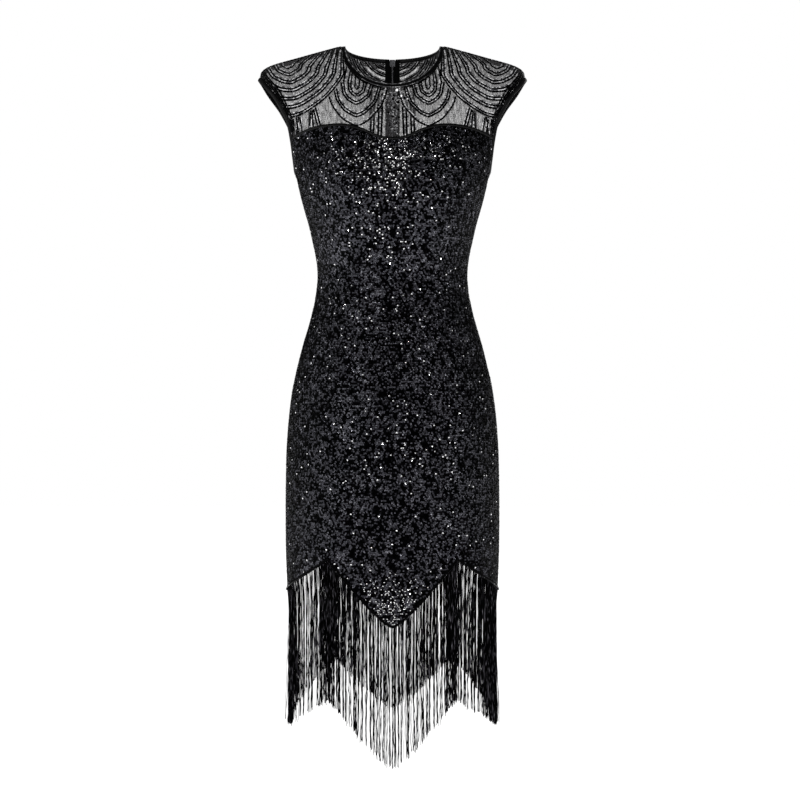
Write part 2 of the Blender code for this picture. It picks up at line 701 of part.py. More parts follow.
def make_pull(frame, material):
    """A tab with a window at its head. The window's top bar lies under the slider's arch, turning about X."""
    mesh = bpy.data.meshes.new("zip_pull")
    builder = bmesh.new()
    outline = [(-PULL_HALF_WIDTH, PULL_WALL / 2), (PULL_HALF_WIDTH, PULL_WALL / 2)]
    outline.append((PULL_HALF_WIDTH, -WINDOW_LENGTH - 3 * PULL_WALL))
    for i in range(PULL_END_STEPS + 1):
        turn = math.pi * i / PULL_END_STEPS
        outline.append((PULL_END_HALF_WIDTH * math.cos(turn),
                        -(PULL_LENGTH - PULL_END_HALF_WIDTH) - PULL_END_HALF_WIDTH * math.sin(turn)))
    outline.append((-PULL_HALF_WIDTH, -WINDOW_LENGTH - 3 * PULL_WALL))
    face = builder.faces.new([builder.verts.new((x, -PULL_WALL / 2, z)) for x, z in outline])
    drawn = bmesh.ops.extrude_face_region(builder, geom=[face])["geom"]
    bmesh.ops.translate(builder, vec=(0, PULL_WALL, 0),
                        verts=[part for part in drawn if isinstance(part, bmesh.types.BMVert)])
    bmesh.ops.recalc_face_normals(builder, faces=builder.faces)
    builder.to_mesh(mesh)
    builder.free()
    pull = bpy.data.objects.new("zip_pull", mesh)
    bpy.context.scene.collection.objects.link(pull)
    window = box_object("pull_window", (-WINDOW_HALF_WIDTH, -PULL_WALL, -PULL_WALL / 2 - WINDOW_LENGTH),
                        (WINDOW_HALF_WIDTH, PULL_WALL, -PULL_WALL / 2), helper=True)
    combine(pull, window, "DIFFERENCE")
    pull.data.materials.append(material)
    axis_y = SLIDER_REST + SLIDER_PLATE + (ARCH_RISE - ARCH_BAR) / 2
    axis_z = SLIDER_TOP - SLIDER_HEIGHT + ARCH_INSET + ARCH_BAR + PULL_WALL
    for piece in (pull, window):
        piece.parent = frame
        piece.location = (0, axis_y, axis_z)


def make_zip_hardware(material):
    """The slider and its pull, in the frame of the centre back: x across, y out of the cloth, z up it."""
    frame = bpy.data.objects.new("centre_back_frame", None)
    bpy.context.scene.collection.objects.link(frame)
    frame.location = neck_point(0, True)
    up = surface_point(0, 1, True) - surface_point(0, NEAR_NECK, True)
    frame.rotation_euler = (math.atan2(-up.y, up.z), 0, 0)
    make_slider(frame, material)
    make_pull(frame, material)


def build():
    clear_scene()
    materials = {name: make_material(name) for name in COLOURS}
    make_panels(body_column, ("body_front", "body_back_left", "body_back_right"), BODY_WALL,
                materials["sequin"])
    make_panels(yoke_column, ("yoke_front", "yoke_back_left", "yoke_back_right"), NET_WALL,
                materials["net"])
    make_neck_binding(materials["binding"])
    make_armhole_binding("armhole_binding_left", -1, materials["binding"])
    make_armhole_binding("armhole_binding_right", 1, materials["binding"])
    make_sweetheart_binding(materials["binding"])
    make_fringe("fringe_front", False, materials["fringe"])
    make_fringe("fringe_back", True, materials["fringe"])
    make_zip_strips(materials["zip_tape"], materials["zip_metal"])
    make_zip_hardware(materials["zip_metal"])


build()
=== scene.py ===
"""The look of the flapper dress around its frame: sequinned cloth, beaded net yoke, bindings, fringe, zip.

The surface functions repeat the source's own sizes, on whole arrays of points. across runs from the centre
(0) to the side (1). level is metres under the underarm where it is below 0, and a share of the upper part
above it. behind is true for the back of the garment. Lengths are metres.
"""

import math

import bmesh
import bpy
import numpy as np
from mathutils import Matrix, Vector
from mathutils.bvhtree import BVHTree


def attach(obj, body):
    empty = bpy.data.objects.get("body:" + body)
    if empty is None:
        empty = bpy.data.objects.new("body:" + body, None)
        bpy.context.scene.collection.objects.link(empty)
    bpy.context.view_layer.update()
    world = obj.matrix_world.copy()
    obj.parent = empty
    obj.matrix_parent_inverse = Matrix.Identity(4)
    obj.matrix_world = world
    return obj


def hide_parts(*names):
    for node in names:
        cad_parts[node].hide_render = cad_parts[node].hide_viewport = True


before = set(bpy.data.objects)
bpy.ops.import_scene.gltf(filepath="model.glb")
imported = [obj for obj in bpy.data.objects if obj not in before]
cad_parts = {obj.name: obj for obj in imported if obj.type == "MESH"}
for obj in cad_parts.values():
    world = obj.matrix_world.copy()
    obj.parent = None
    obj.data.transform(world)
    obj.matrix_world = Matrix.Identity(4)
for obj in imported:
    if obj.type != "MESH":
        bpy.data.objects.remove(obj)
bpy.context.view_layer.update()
random = np.random.default_rng(1925)
TURN = 2 * math.pi
SIDES = (("left", -1), ("right", 1))

# ---------------------------------------------------------------- sizes of the garment
NECK_SEAM = {"half_width": 0.0775, "shoulder_z": -0.0020, "front_depth": 0.0600, "front_z": -0.0765,
             "back_depth": 0.0640, "back_z": -0.0110}
NECK_EDGE = {"half_width": 0.0718, "shoulder_z": -0.0014, "front_depth": 0.0573, "front_z": -0.0712,
             "back_depth": 0.0625, "back_z": -0.0055}
NECK_SHARE = 0.42
NECK_FULLNESS = 0.7
BACK_NECK_DROP = 1.6
UNDERARM = -0.203
ARMHOLE_PULL_START = 0.20
ARMHOLE_PULL_POWER = 1.5
EASING_REACH = 0.14
EASING_WEIGHTS = ((-1.0, 1), (-0.5, 2), (0.0, 2), (0.5, 2), (1.0, 1))
EASED_FROM_UNDERARM = 0.3
EASED_FROM_EDGE = 0.15
ARMHOLE_MIDDLE = np.array((0.165, 0.0, -0.120))
BACK_ARMHOLE_SHARE = 0.92
# Direction in which the columns arrive at the neck and at the shoulder, in front (False) and behind (True)
ARRIVAL = {False: ((0, 0.48, 0.88), (0, 1, 0.10)), True: ((0, -0.50, 0.87), (0, -1, 0.05))}
RIDGE_SOFTENING = 0.2
COLUMN_START = 0.004
ZIP_BOTTOM = -0.520
ZIP_HALF_OPENING = 0.0024
ZIP_END_RUN = 0.012
FRINGE_LENGTH = 0.2035
BACK_TOP = (-0.150, -0.153)
CUP = {"x": 0.080, "z": -0.238, "radius_x": 0.056, "radius_z": 0.070, "depth": 0.014}

# columns: height, half width, depth in front, depth behind, squareness
SECTIONS = np.array((
    (-0.190, 0.1460, 0.1112, 0.0902, 2.70),
    (-0.230, 0.1374, 0.1112, 0.0852, 2.50),
    (-0.285, 0.1226, 0.1012, 0.0752, 2.30),
    (-0.345, 0.1124, 0.0872, 0.0702, 2.20),
    (-0.400, 0.1195, 0.0892, 0.0802, 2.15),
    (-0.460, 0.1362, 0.0982, 0.1022, 2.15),
    (-0.520, 0.1502, 0.1057, 0.1202, 2.15),
    (-0.590, 0.1579, 0.1097, 0.1267, 2.20),
    (-0.660, 0.1602, 0.1107, 0.1247, 2.20),
    (-0.755, 0.1602, 0.1097, 0.1217, 2.20),
    (-0.850, 0.1570, 0.1077, 0.1197, 2.20),
    (-1.080, 0.1532, 0.1042, 0.1152, 2.20),
))
# columns: across, height
SHOULDER = np.array((
    (0.0775, -0.0020), (0.1100, -0.0108), (0.1430, -0.0200), (0.1765, -0.0292),
    (0.1900, -0.0345), (0.1970, -0.0400), (0.2003, -0.0480),
))
# columns: across, depth in front, height
ARMHOLE = np.array((
    (0.1430, 0.0000, -0.2030), (0.1442, 0.0270, -0.1965), (0.1450, 0.0440, -0.1800),
    (0.1475, 0.0530, -0.1500), (0.1520, 0.0555, -0.1250), (0.1605, 0.0550, -0.1055),
    (0.1715, 0.0525, -0.0860), (0.1870, 0.0370, -0.0660), (0.1965, 0.0180, -0.0520),
    (0.2003, 0.0000, -0.0480),
))
# columns: across, height
SWEETHEART = np.array((
    (0.000, -0.1590), (0.020, -0.1565), (0.045, -0.1455), (0.070, -0.1385),
    (0.100, -0.1380), (0.125, -0.1420), (0.160, -0.1530),
))
# columns: angle from the centre front, height
HEM = np.array(((0.0, -0.862), (45.0, -0.767), (91.0, -0.824), (138.0, -0.746), (180.0, -0.830)))
HEM_ROUNDING = 1.33
SEAM_GAP = 0.0003


# ---------------------------------------------------------------- curves and surfaces
SEARCHED_LEVELS = np.linspace(-0.03, 1.0, 500)
NORMAL_STEP = 0.003
NEAR_SIDE = 0.97


def hermite(start, end, start_slope, end_slope, share):
    square, cube = share**2, share**3
    return (start * (2 * cube - 3 * square + 1) + end * (3 * square - 2 * cube)
            + start_slope * (cube - 2 * square + share) + end_slope * (cube - square))


def curve_through(places, values, place):
    """A smooth curve through values at rising places, read at an array of places."""
    rises = np.diff(values) / np.diff(places)
    slopes = np.concatenate((rises[:1], (values[2:] - values[:-2]) / (places[2:] - places[:-2]), rises[-1:]))
    place = np.clip(place, places[0], places[-1])
    index = np.clip(np.searchsorted(places, place, side="right") - 1, 0, len(places) - 2)
    step = places[index + 1] - places[index]
    return hermite(values[index], values[index + 1], slopes[index] * step, slopes[index + 1] * step,
                   (place - places[index]) / step)


def smooth_step(share):
    share = np.clip(share, 0.0, 1.0)
    return share * share * (3 - 2 * share)


def stack(x, y, z):
    return np.stack(np.broadcast_arrays(x, y, z), axis=-1)


def unit(vectors):
    return vectors / np.maximum(np.linalg.norm(vectors, axis=-1, keepdims=True), 1e-12)


def lengths_along(rows):
    return np.concatenate(([0], np.cumsum(np.linalg.norm(np.diff(rows, axis=0), axis=1))))


def resampled(at, lengths, rows):
    """The columns of a line's rows at other lengths along it."""
    return np.stack([np.interp(at, lengths, values) for values in rows.T], axis=1)


def heading(rows):
    """The direction of a line at each of its points."""
    return unit(np.gradient(rows, axis=0))


def turned_toward(vectors, aim):
    """The vectors, reversed where they point away from their aim."""
    return vectors * np.where((vectors * aim).sum(axis=1) > 0, 1, -1)[:, None]


def corner_turns(corners):
    return np.arange(corners) * TURN / corners


def round_offsets(first, second, turn, width=1, height=1):
    """Corners round each point: width along the first direction, height along the second."""
    return (first[..., None, :] * (np.cos(turn) * width)[..., None]
            + second[..., None, :] * (np.sin(turn) * height)[..., None])


def section(z):
    """Half width, depth in front, depth behind and squareness of the sheath at a height."""
    return (curve_through(-SECTIONS[:, 0], SECTIONS[:, k], -z) for k in (1, 2, 3, 4))


def torso(angle, z):
    """The sheath under the arms: the angle runs from the centre front (0) to the centre back (180)."""
    half, front, back, power = section(z)
    across, forward = np.sin(np.radians(angle)), np.cos(np.radians(angle))
    depth = np.where(forward > 0, front, back)
    reach = (np.abs(across / half) ** power + np.abs(forward / depth) ** power) ** (-1 / power)
    x, y = reach * across, -reach * forward
    cup = ((np.abs(x) - CUP["x"]) / CUP["radius_x"]) ** 2 + ((z - CUP["z"]) / CUP["radius_z"]) ** 2
    y = y - CUP["depth"] * np.exp(-cup) * np.sqrt(np.maximum(forward, 0))
    return stack(x, y, z)


def neck(share, behind, line=NECK_SEAM):
    """A line round the neck, from the centre (0) to the high shoulder point (1)."""
    turn = np.radians(90 * np.asarray(share, float))
    across, along = np.sin(turn), np.maximum(np.cos(turn), 0)
    side, depth_sign, power = ("back", 1, BACK_NECK_DROP) if behind else ("front", -1, 1)
    height = line["shoulder_z"] + (line[side + "_z"] - line["shoulder_z"]) * along**power
    depth = depth_sign * line[side + "_depth"] * along**NECK_FULLNESS
    return stack(line["half_width"] * across, depth, height)


def on_line(line, share):
    """The columns of a table's line at a share of its length."""
    lengths = lengths_along(line)
    return [curve_through(lengths, values, np.asarray(share) * lengths[-1]) for values in line.T]


def shoulder(share):
    x, z = on_line(SHOULDER, share)
    return stack(x, 0.0, z)


def armhole(share, behind):
    x, depth, z = on_line(ARMHOLE, share)
    return stack(x, depth * BACK_ARMHOLE_SHARE if behind else -depth, z)


def column(across, share, behind):
    """A column from the sheath under the arm to the neck or the shoulder seam."""
    half, front, back, power = section(UNDERARM)
    depth = np.abs(armhole(share, behind)[..., 1])
    filled = (depth / (back if behind else front)) ** power
    turn = across * np.degrees(np.arctan2(half * (1 - filled) ** (1 / power), depth))
    angle = 180 - turn if behind else turn
    bottom, below = torso(angle, UNDERARM + 0 * angle), torso(angle, UNDERARM - COLUMN_START + 0 * angle)
    in_neck = (across <= NECK_SHARE)[..., None]
    top = np.where(in_neck, neck(np.minimum(across / NECK_SHARE, 1), behind),
                   shoulder(np.maximum((across - NECK_SHARE) / (1 - NECK_SHARE), 0)))
    over = smooth_step(across / NECK_SHARE)[..., None]
    centre, ridge = np.array(ARRIVAL[behind])
    arrival = unit(centre + (ridge - centre) * over) * (1 - RIDGE_SOFTENING * over)
    reach = np.linalg.norm(top - bottom, axis=-1, keepdims=True)
    return hermite(bottom, top, unit(bottom - below) * reach, arrival * reach, share[..., None])


def upper(across, share, behind):
    """The surface above the underarm, with its columns eased into each other away from the edges."""
    reach = (EASING_REACH * (1 - share**4) * np.minimum(1, share / EASED_FROM_UNDERARM)
             * np.minimum(1, np.minimum(across / EASED_FROM_EDGE, (1 - across) / EASED_FROM_EDGE)))
    reach = np.maximum(reach, 0)
    total = 0
    for place, weight in EASING_WEIGHTS:
        at = across + place * reach
        pull = np.maximum(0, (at - ARMHOLE_PULL_START) / (1 - ARMHOLE_PULL_START)) ** ARMHOLE_PULL_POWER
        side = armhole(share, behind) - column(np.ones_like(at), share, behind)
        total = total + (column(at, share, behind) + pull[..., None] * side) * weight
    return total / sum(weight for _, weight in EASING_WEIGHTS)


def surface(across, level, behind):
    across, level = np.broadcast_arrays(np.asarray(across, float), np.asarray(level, float))
    points = torso(180 - 90 * across if behind else 90 * across, UNDERARM + np.minimum(level, 0))
    high = level > 0
    if high.any():
        points[high] = upper(across[high], np.clip(level[high], 0, 1), behind)
    return points


def level_of_height(across, behind, heights):
    """The level on each column at which the garment passes a height (a function of the points)."""
    points = surface(across[None, :], SEARCHED_LEVELS[:, None], behind)
    over = points[..., 2] - heights(points)
    first = np.argmax(over > 0, axis=0)
    index = np.arange(len(across))
    before, after = over[first - 1, index], over[first, index]
    start, end = SEARCHED_LEVELS[first - 1], SEARCHED_LEVELS[first]
    return start + (end - start) * before / (before - after)


def bodice_top(across, behind):
    """The level of the seam between the sequinned cloth and the net."""
    if behind:
        target = BACK_TOP[0] + (BACK_TOP[1] - BACK_TOP[0]) * across
        return level_of_height(across, True, lambda points: target)
    return level_of_height(across, False, lambda points: curve_through(*SWEETHEART.T, points[..., 0]))


def hem_height(angle):
    """The scalloped hem: round at its low points and peaked between them."""
    index = np.clip(np.searchsorted(HEM[:, 0], angle, side="right") - 1, 0, len(HEM) - 2)
    here, there = HEM[index], HEM[index + 1]
    share = (angle - here[..., 0]) / (there[..., 0] - here[..., 0])
    from_low = np.where(here[..., 1] < there[..., 1], share, 1 - share)
    low, peak = np.minimum(here[..., 1], there[..., 1]), np.maximum(here[..., 1], there[..., 1])
    return low + (peak - low) * np.maximum(from_low, 0) ** HEM_ROUNDING


# Soft creases. columns: side (front -1, back 1), middle across and height, half length, half width, slope in
# degrees, depth (a ridge is below 0)
CREASES = (
    (-1, -0.026, -0.441, 0.050, 0.0080, -6, 0.0022),
    (-1, 0.022, -0.524, 0.062, 0.0100, 5, 0.0020),
    (-1, -0.075, -0.372, 0.036, 0.0070, 24, 0.0018),
    (-1, 0.078, -0.366, 0.040, 0.0065, -20, 0.0020),
    (-1, 0.060, -0.318, 0.034, 0.0070, -34, 0.0015),
    (-1, -0.064, -0.322, 0.030, 0.0070, 38, 0.0014),
    (-1, 0.000, -0.405, 0.030, 0.0080, 3, -0.0012),
    (-1, -0.095, -0.470, 0.045, 0.0090, 36, 0.0016),
    (-1, 0.104, -0.455, 0.040, 0.0080, -42, 0.0017),
    (-1, 0.000, -0.600, 0.070, 0.0150, -3, 0.0012),
    (-1, -0.060, -0.700, 0.012, 0.0700, 8, 0.0022),
    (-1, 0.075, -0.690, 0.013, 0.0800, -6, 0.0024),
    (-1, 0.006, -0.790, 0.012, 0.0600, 2, -0.0018),
    (1, 0.050, -0.362, 0.045, 0.0080, 12, 0.0026),
    (1, -0.046, -0.355, 0.048, 0.0090, -10, 0.0028),
    (1, 0.062, -0.392, 0.036, 0.0070, 20, 0.0018),
    (1, -0.066, -0.388, 0.040, 0.0070, -17, 0.0020),
    (1, -0.080, -0.450, 0.040, 0.0090, -34, 0.0014),
    (1, 0.086, -0.458, 0.038, 0.0090, 38, 0.0016),
    (1, 0.070, -0.700, 0.013, 0.0800, 5, 0.0024),
    (1, -0.058, -0.690, 0.014, 0.0750, -7, 0.0022),
)
# The creases behind fade out towards the zip, over one part in this many of the way across
CREASE_FADE = 6


def crease(points, behind):
    depth = np.zeros(points.shape[:-1])
    for side, x, z, half_length, half_width, slope, amount in CREASES:
        if (side > 0) == behind:
            cosine, sine = math.cos(math.radians(slope)), math.sin(math.radians(slope))
            along = (points[..., 0] - x) * cosine + (points[..., 2] - z) * sine
            away = (points[..., 2] - z) * cosine - (points[..., 0] - x) * sine
            depth += amount * np.exp(-(along / half_length) ** 2 - (away / half_width) ** 2)
    return depth


def cloth(across, level, behind, sign, lift=0.0, creased=True):
    """Points of one half of the garment with their outward normals."""
    across, level = np.broadcast_arrays(np.asarray(across, float), np.asarray(level, float))
    inner = np.minimum(across, NEAR_SIDE)

    def shape(u, v):
        points = surface(u, v, behind) * np.array((sign, 1, 1))
        if not creased:
            return points
        hollow = crease(points, behind)
        if behind:
            hollow = hollow * np.clip(u * CREASE_FADE, 0, 1)
        return points - unit(points * np.array((1, 1, 0))) * hollow[..., None]

    side = shape(np.minimum(inner + NORMAL_STEP, 1), level) - shape(np.maximum(inner - NORMAL_STEP, 0), level)
    up = shape(inner, np.minimum(level + NORMAL_STEP, 1)) - shape(inner, level - NORMAL_STEP)
    normal = unit(np.cross(side, up)) * (-sign if behind else sign)
    return shape(across, level) + normal * lift, normal


# ---------------------------------------------------------------- meshes
def mesh_object(name, verts, faces, material, slot, uvs=None, smooth=True):
    """A piece of the garment, with one material; the slot argument is not used."""
    mesh = bpy.data.meshes.new(name)
    mesh.from_pydata(np.asarray(verts).reshape(-1, 3).tolist(), [], np.asarray(faces).tolist())
    if uvs is not None:
        layer = mesh.uv_layers.new(name="UVMap")
        layer.data.foreach_set("uv", np.asarray(uvs, np.float32).reshape(-1, 2)[faces.ravel()].ravel())
    mesh.polygons.foreach_set("use_smooth", np.full(len(mesh.polygons), smooth))
    mesh.materials.append(material)
    mesh.update()
    made = bpy.data.objects.new(name, mesh)
    bpy.context.scene.collection.objects.link(made)
    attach(made, "garment")
    return made


def shade_attribute(made, values, corners=1):
    """Store a shade from 0 to 1 at each point, the same for each run of corners."""
    layer = made.data.attributes.new("shade", "FLOAT", "POINT")
    layer.data.foreach_set("value", np.repeat(np.clip(values, 0, 1), corners).astype(np.float32))


def grid_faces(rows, columns, offset=0, closed=False):
    """Quads of a grid of rows x columns vertices."""
    index = np.arange(rows * columns).reshape(rows, columns) + offset
    if closed:
        index = np.concatenate((index, index[:, :1]), axis=1)
    return np.stack((index[:-1, :-1], index[:-1, 1:], index[1:, 1:], index[1:, :-1]), axis=-1).reshape(-1, 4)


def repeated(faces, count, verts_each):
    """The faces of many copies of one small mesh."""
    every = faces[None] + (np.arange(count) * verts_each)[:, None, None]
    return every.reshape(-1, faces.shape[1])


def arc_uvs(points):
    """Metres across and up the cloth, from the distances between the grid's points."""
    across = np.linalg.norm(np.diff(points, axis=1), axis=-1)
    across = np.concatenate((np.zeros((len(points), 1)), np.cumsum(across, axis=1)), axis=1)
    across -= across[:, across.shape[1] // 2][:, None]
    up = np.linalg.norm(np.diff(points, axis=0), axis=-1)
    up = np.concatenate((np.zeros((1, points.shape[1])), np.cumsum(up, axis=0)), axis=0)
    return np.stack((across, up), axis=-1)


def shell(name, points, normals, wall, material, slot, outward=True):
    """A thin closed wall behind a grid of points."""
    rows, columns = points.shape[:2]
    count = rows * columns
    index = np.arange(count).reshape(rows, columns)
    ring = np.concatenate((index[0, :], index[1:, -1], index[-1, -2::-1], index[-2:0:-1, 0]))
    following = np.roll(ring, -1)
    rim = np.stack((following, ring, ring + count, following + count), axis=-1)
    every = np.concatenate((grid_faces(rows, columns), grid_faces(rows, columns, count)[:, ::-1], rim))
    uvs = arc_uvs(points).reshape(-1, 2)
    both = np.concatenate((points.reshape(-1, 3), (points - normals * wall).reshape(-1, 3)))
    return mesh_object(name, both, every if outward else every[:, ::-1], material, slot,
                       np.concatenate((uvs, uvs)))


# ---------------------------------------------------------------- materials
def settle(made, settings):
    """Set a node's properties, and its sockets' values where it has no such property."""
    for name, value in settings.items():
        if hasattr(made, name):
            setattr(made, name, value)
        else:
            made.inputs[name.replace("_", " ")].default_value = value
    return made


def new_material(name, **settings):
    material = bpy.data.materials.new(name)
    material.use_nodes = True
    return material, material.node_tree, settle(material.node_tree.nodes["Principled BSDF"], settings)


def node(tree, kind, **settings):
    return settle(tree.nodes.new("ShaderNode" + kind), settings)


def wire(tree, *links):
    """Links, each as a node, its output, the next node and its input."""
    for start, output, end, socket in links:
        tree.links.new(start.outputs[output], end.inputs[socket])


def ramp(tree, stops):
    """A colour ramp; a stop is a place with a colour or a grey."""
    made = node(tree, "ValToRGB")
    elements = made.color_ramp.elements
    while len(elements) < len(stops):
        elements.new(0.5)
    for element, (place, shade) in zip(elements, stops):
        element.position = place
        element.color = (*shade, 1) if hasattr(shade, "__len__") else (shade, shade, shade, 1)
    return made


def scaled(tree, factor, operation="MULTIPLY"):
    made = node(tree, "Math", operation=operation)
    made.inputs[1].default_value = factor
    return made


def shade_ramp(tree, shader, stops):
    """Base colour by the shade stored at each point."""
    shade = node(tree, "Attribute", attribute_name="shade")
    tint = ramp(tree, stops)
    wire(tree, (shade, "Fac", tint, "Fac"), (tint, "Color", shader, "Base Color"))
    return shade, tint


def grained(tree, shader, grain, stops, strength, distance):
    """Roughness and bump from one grain."""
    rough = ramp(tree, stops)
    bump = node(tree, "Bump", Strength=strength, Distance=distance)
    wire(tree, (grain, "Fac", rough, "Fac"), (rough, "Color", shader, "Roughness"),
         (grain, "Fac", bump, "Height"), (bump, "Normal", shader, "Normal"))


def sequin_material():
    """Black mirror-like film: each sequin has its own depth of black. The shade also carries painted shade,
    and its top stop, near white, paints glints.
    """
    material, tree, shader = new_material("sequin", Metallic=1.0)
    shade, _ = shade_ramp(tree, shader, (
        (0.0, (0.0005, 0.0005, 0.0006)), (0.40, (0.002, 0.002, 0.0024)), (0.52, (0.038, 0.038, 0.045)),
        (0.88, (0.070, 0.070, 0.081)), (0.96, (0.16, 0.16, 0.18)), (1.0, (0.95, 0.95, 0.96))))
    rough = ramp(tree, ((0.0, 0.45), (0.5, 0.30), (0.96, 0.20), (1.0, 0.12)))
    wire(tree, (shade, "Fac", rough, "Fac"), (rough, "Color", shader, "Roughness"))
    return material


def knit_material(name, colour, roughness, threads, strength):
    """A fine knit or woven ground: two crossing waves on the cloth's own metres."""
    material, tree, shader = new_material(name, Roughness=roughness, Specular_IOR_Level=0.06)
    place = node(tree, "UVMap")
    both = node(tree, "Math", operation="MULTIPLY")
    for socket, direction in enumerate("XY"):
        wave = node(tree, "TexWave", wave_type="BANDS", bands_direction=direction, Scale=threads / 3.14,
                    Distortion=0.6)
        wire(tree, (place, "UV", wave, "Vector"), (wave, "Fac", both, socket))
    tint = ramp(tree, ((0.0, tuple(0.4 * part for part in colour)), (1.0, colour)))
    bump = node(tree, "Bump", Strength=strength, Distance=0.0004)
    wire(tree, (both, "Value", tint, "Fac"), (tint, "Color", shader, "Base Color"),
         (both, "Value", bump, "Height"), (bump, "Normal", shader, "Normal"))
    return material


def net_material():
    """Sheer net: fine crossed threads with uneven gaps, clear between them and denser higher up."""
    material, tree, shader = new_material("net", Roughness=0.75, Base_Color=(0.085, 0.082, 0.085, 1))
    place = node(tree, "UVMap")
    both = node(tree, "Math", operation="MAXIMUM")
    for socket, turn in enumerate((0.62, -0.62)):
        mapping = node(tree, "Mapping", Rotation=(0, 0, turn))
        wave = node(tree, "TexWave", wave_type="BANDS", bands_direction="X", Scale=1 / 0.0011 / 3.14,
                    Distortion=1.2, Detail=1.0, Detail_Scale=0.4)
        wire(tree, (place, "UV", mapping, "Vector"), (mapping, "Vector", wave, "Vector"),
             (wave, "Fac", both, socket))
    stretched = node(tree, "Mapping", Scale=(420, 90, 1))
    streaks = node(tree, "TexNoise", Scale=1.0, Detail=3.0, Roughness=0.6)
    uneven = scaled(tree, 1.7, "MULTIPLY_ADD")
    height = node(tree, "SeparateXYZ")
    denser = scaled(tree, 1.3, "MULTIPLY_ADD")
    share = scaled(tree, 0.514)
    cut = ramp(tree, ((0.70, 0.04), (1.0, 0.97)))
    wire(tree, (place, "UV", stretched, "Vector"), (stretched, "Vector", streaks, "Vector"),
         (streaks, "Fac", uneven, 0), (both, "Value", uneven, 2), (place, "UV", height, "Vector"),
         (height, "Y", denser, 0), (uneven, "Value", denser, 2), (denser, "Value", share, 0),
         (share, "Value", cut, "Fac"), (cut, "Color", shader, "Alpha"))
    return material


def satin_material():
    """Black satin with a fine grain along the strip."""
    material, tree, shader = new_material("binding_satin", Specular_IOR_Level=0.15)
    place = node(tree, "UVMap")
    mapping = node(tree, "Mapping", Scale=(220, 1600, 1))
    grain = node(tree, "TexNoise", Scale=1.0, Detail=3.0)
    tint = ramp(tree, ((0.3, (0.0011, 0.0011, 0.0013)), (0.7, (0.0022, 0.0022, 0.0026))))
    wire(tree, (place, "UV", mapping, "Vector"), (mapping, "Vector", grain, "Vector"),
         (grain, "Fac", tint, "Fac"), (tint, "Color", shader, "Base Color"))
    grained(tree, shader, grain, ((0.3, 0.28), (0.7, 0.50)), 0.35, 0.0003)
    return material


def thread_material():
    """Fringe thread: mostly black, with lighter stretches."""
    material, tree, shader = new_material("fringe_thread", Roughness=0.6, Specular_IOR_Level=0.0)
    shade_ramp(tree, shader, ((0.0, (0.0006, 0.0006, 0.0006)), (0.55, (0.002, 0.002, 0.0022)),
                              (0.75, (0.075, 0.072, 0.082)), (1.0, (0.26, 0.25, 0.29))))
    return material


def cord_material():
    """Black beaded cord: most beads are black; the lighter ones, in stretches, are painted glints."""
    material, tree, shader = new_material("beaded_cord", Metallic=1.0)
    shade_ramp(tree, shader, ((0.0, (0.0006, 0.0006, 0.0007)), (0.62, (0.004, 0.004, 0.0046)),
                              (0.80, (0.06, 0.06, 0.065)), (1.0, (0.50, 0.50, 0.52))))
    place = node(tree, "UVMap")
    grain = node(tree, "TexNoise", Scale=700.0, Detail=2.0)
    wire(tree, (place, "UV", grain, "Vector"))
    grained(tree, shader, grain, ((0.35, 0.16), (0.65, 0.40)), 0.5, 0.0004)
    return material


def painted_highlight_material():
    """Painted highlight: grey thread beside the black cords, standing for their highlights, lighter in some
    stretches than in others, and glowing a little with its own colour as painted light.
    """
    material, tree, shader = new_material("painted_highlight_thread", Roughness=0.35, Specular_IOR_Level=0.5,
                                          Emission_Strength=0.16)
    _, tint = shade_ramp(tree, shader, ((0.0, (0.02, 0.02, 0.022)), (0.3, (0.16, 0.16, 0.17)),
                                        (0.75, (0.95, 0.95, 0.96))))
    # Painted light: the thread's colour also glows
    wire(tree, (tint, "Color", shader, "Emission Color"))
    return material


def metal_material():
    """Satin grey metal with fine wear."""
    material, tree, shader = new_material("zip_metal", Metallic=1.0, Base_Color=(0.32, 0.32, 0.34, 1))
    place = node(tree, "TexCoord")
    grain = node(tree, "TexNoise", Scale=900.0, Detail=3.0)
    wire(tree, (place, "Object", grain, "Vector"))
    grained(tree, shader, grain, ((0.3, 0.22), (0.7, 0.42)), 0.12, 0.0001)
    return material


SEQUIN = sequin_material()
GROUND = knit_material("knit_ground", (0.004, 0.004, 0.005), 0.8, 900.0, 0.3)
NET = net_material()
BINDING = satin_material()
TAPE = knit_material("woven_tape", (0.0030, 0.0030, 0.0035), 0.85, 1100.0, 0.5)
THREAD = thread_material()
METAL = metal_material()
CORD = cord_material()
PAINTED_HIGHLIGHT = painted_highlight_material()
# Crystals glow by their own emission: painted light
GLOWING_CRYSTAL = new_material("crystal", Roughness=0.15, Base_Color=(0.95, 0.95, 0.96, 1),
                       Emission_Color=(1, 1, 1, 1), Emission_Strength=0.6)[0]


# ---------------------------------------------------------------- cloth panels
BODY_COLUMNS = 40
BODY_ROWS = 80
YOKE_ROWS = 40
GROUND_DEPTH = 0.0006
CLOTH_WALL = 0.0009
NET_DEPTH = 0.0004


def half_panel(across, levels, behind, sign, lift, creased=True):
    """A grid over one half: one row for each share up, one column for each place across."""
    points, normals = cloth(across[None, :], levels, behind, sign, lift, creased)
    if behind:
        stand = SEAM_GAP / 2 + (ZIP_HALF_OPENING - SEAM_GAP / 2) * smooth_step(
            (points[..., 2] - ZIP_BOTTOM) / ZIP_END_RUN)
        points[..., 0] += sign * np.where(across[None, :] == 0, stand, 0)
    return points, normals


def joined_halves(across, levels, lift, creased=True):
    """A whole front from its two halves, from -X to +X."""
    left = half_panel(across[::-1], levels[:, ::-1], False, -1, lift, creased)
    right = half_panel(across[1:], levels[:, 1:], False, 1, lift, creased)
    return (np.concatenate(pair, axis=1) for pair in zip(left, right))


def levels_between(low, high, rows):
    return low[None, :] + (high - low)[None, :] * np.linspace(0, 1, rows + 1)[:, None]


def net_sheet(name, points, outward):
    faces = grid_faces(*points.shape[:2])
    return mesh_object(name, points, faces if outward else faces[:, ::-1], NET, "net", arc_uvs(points))


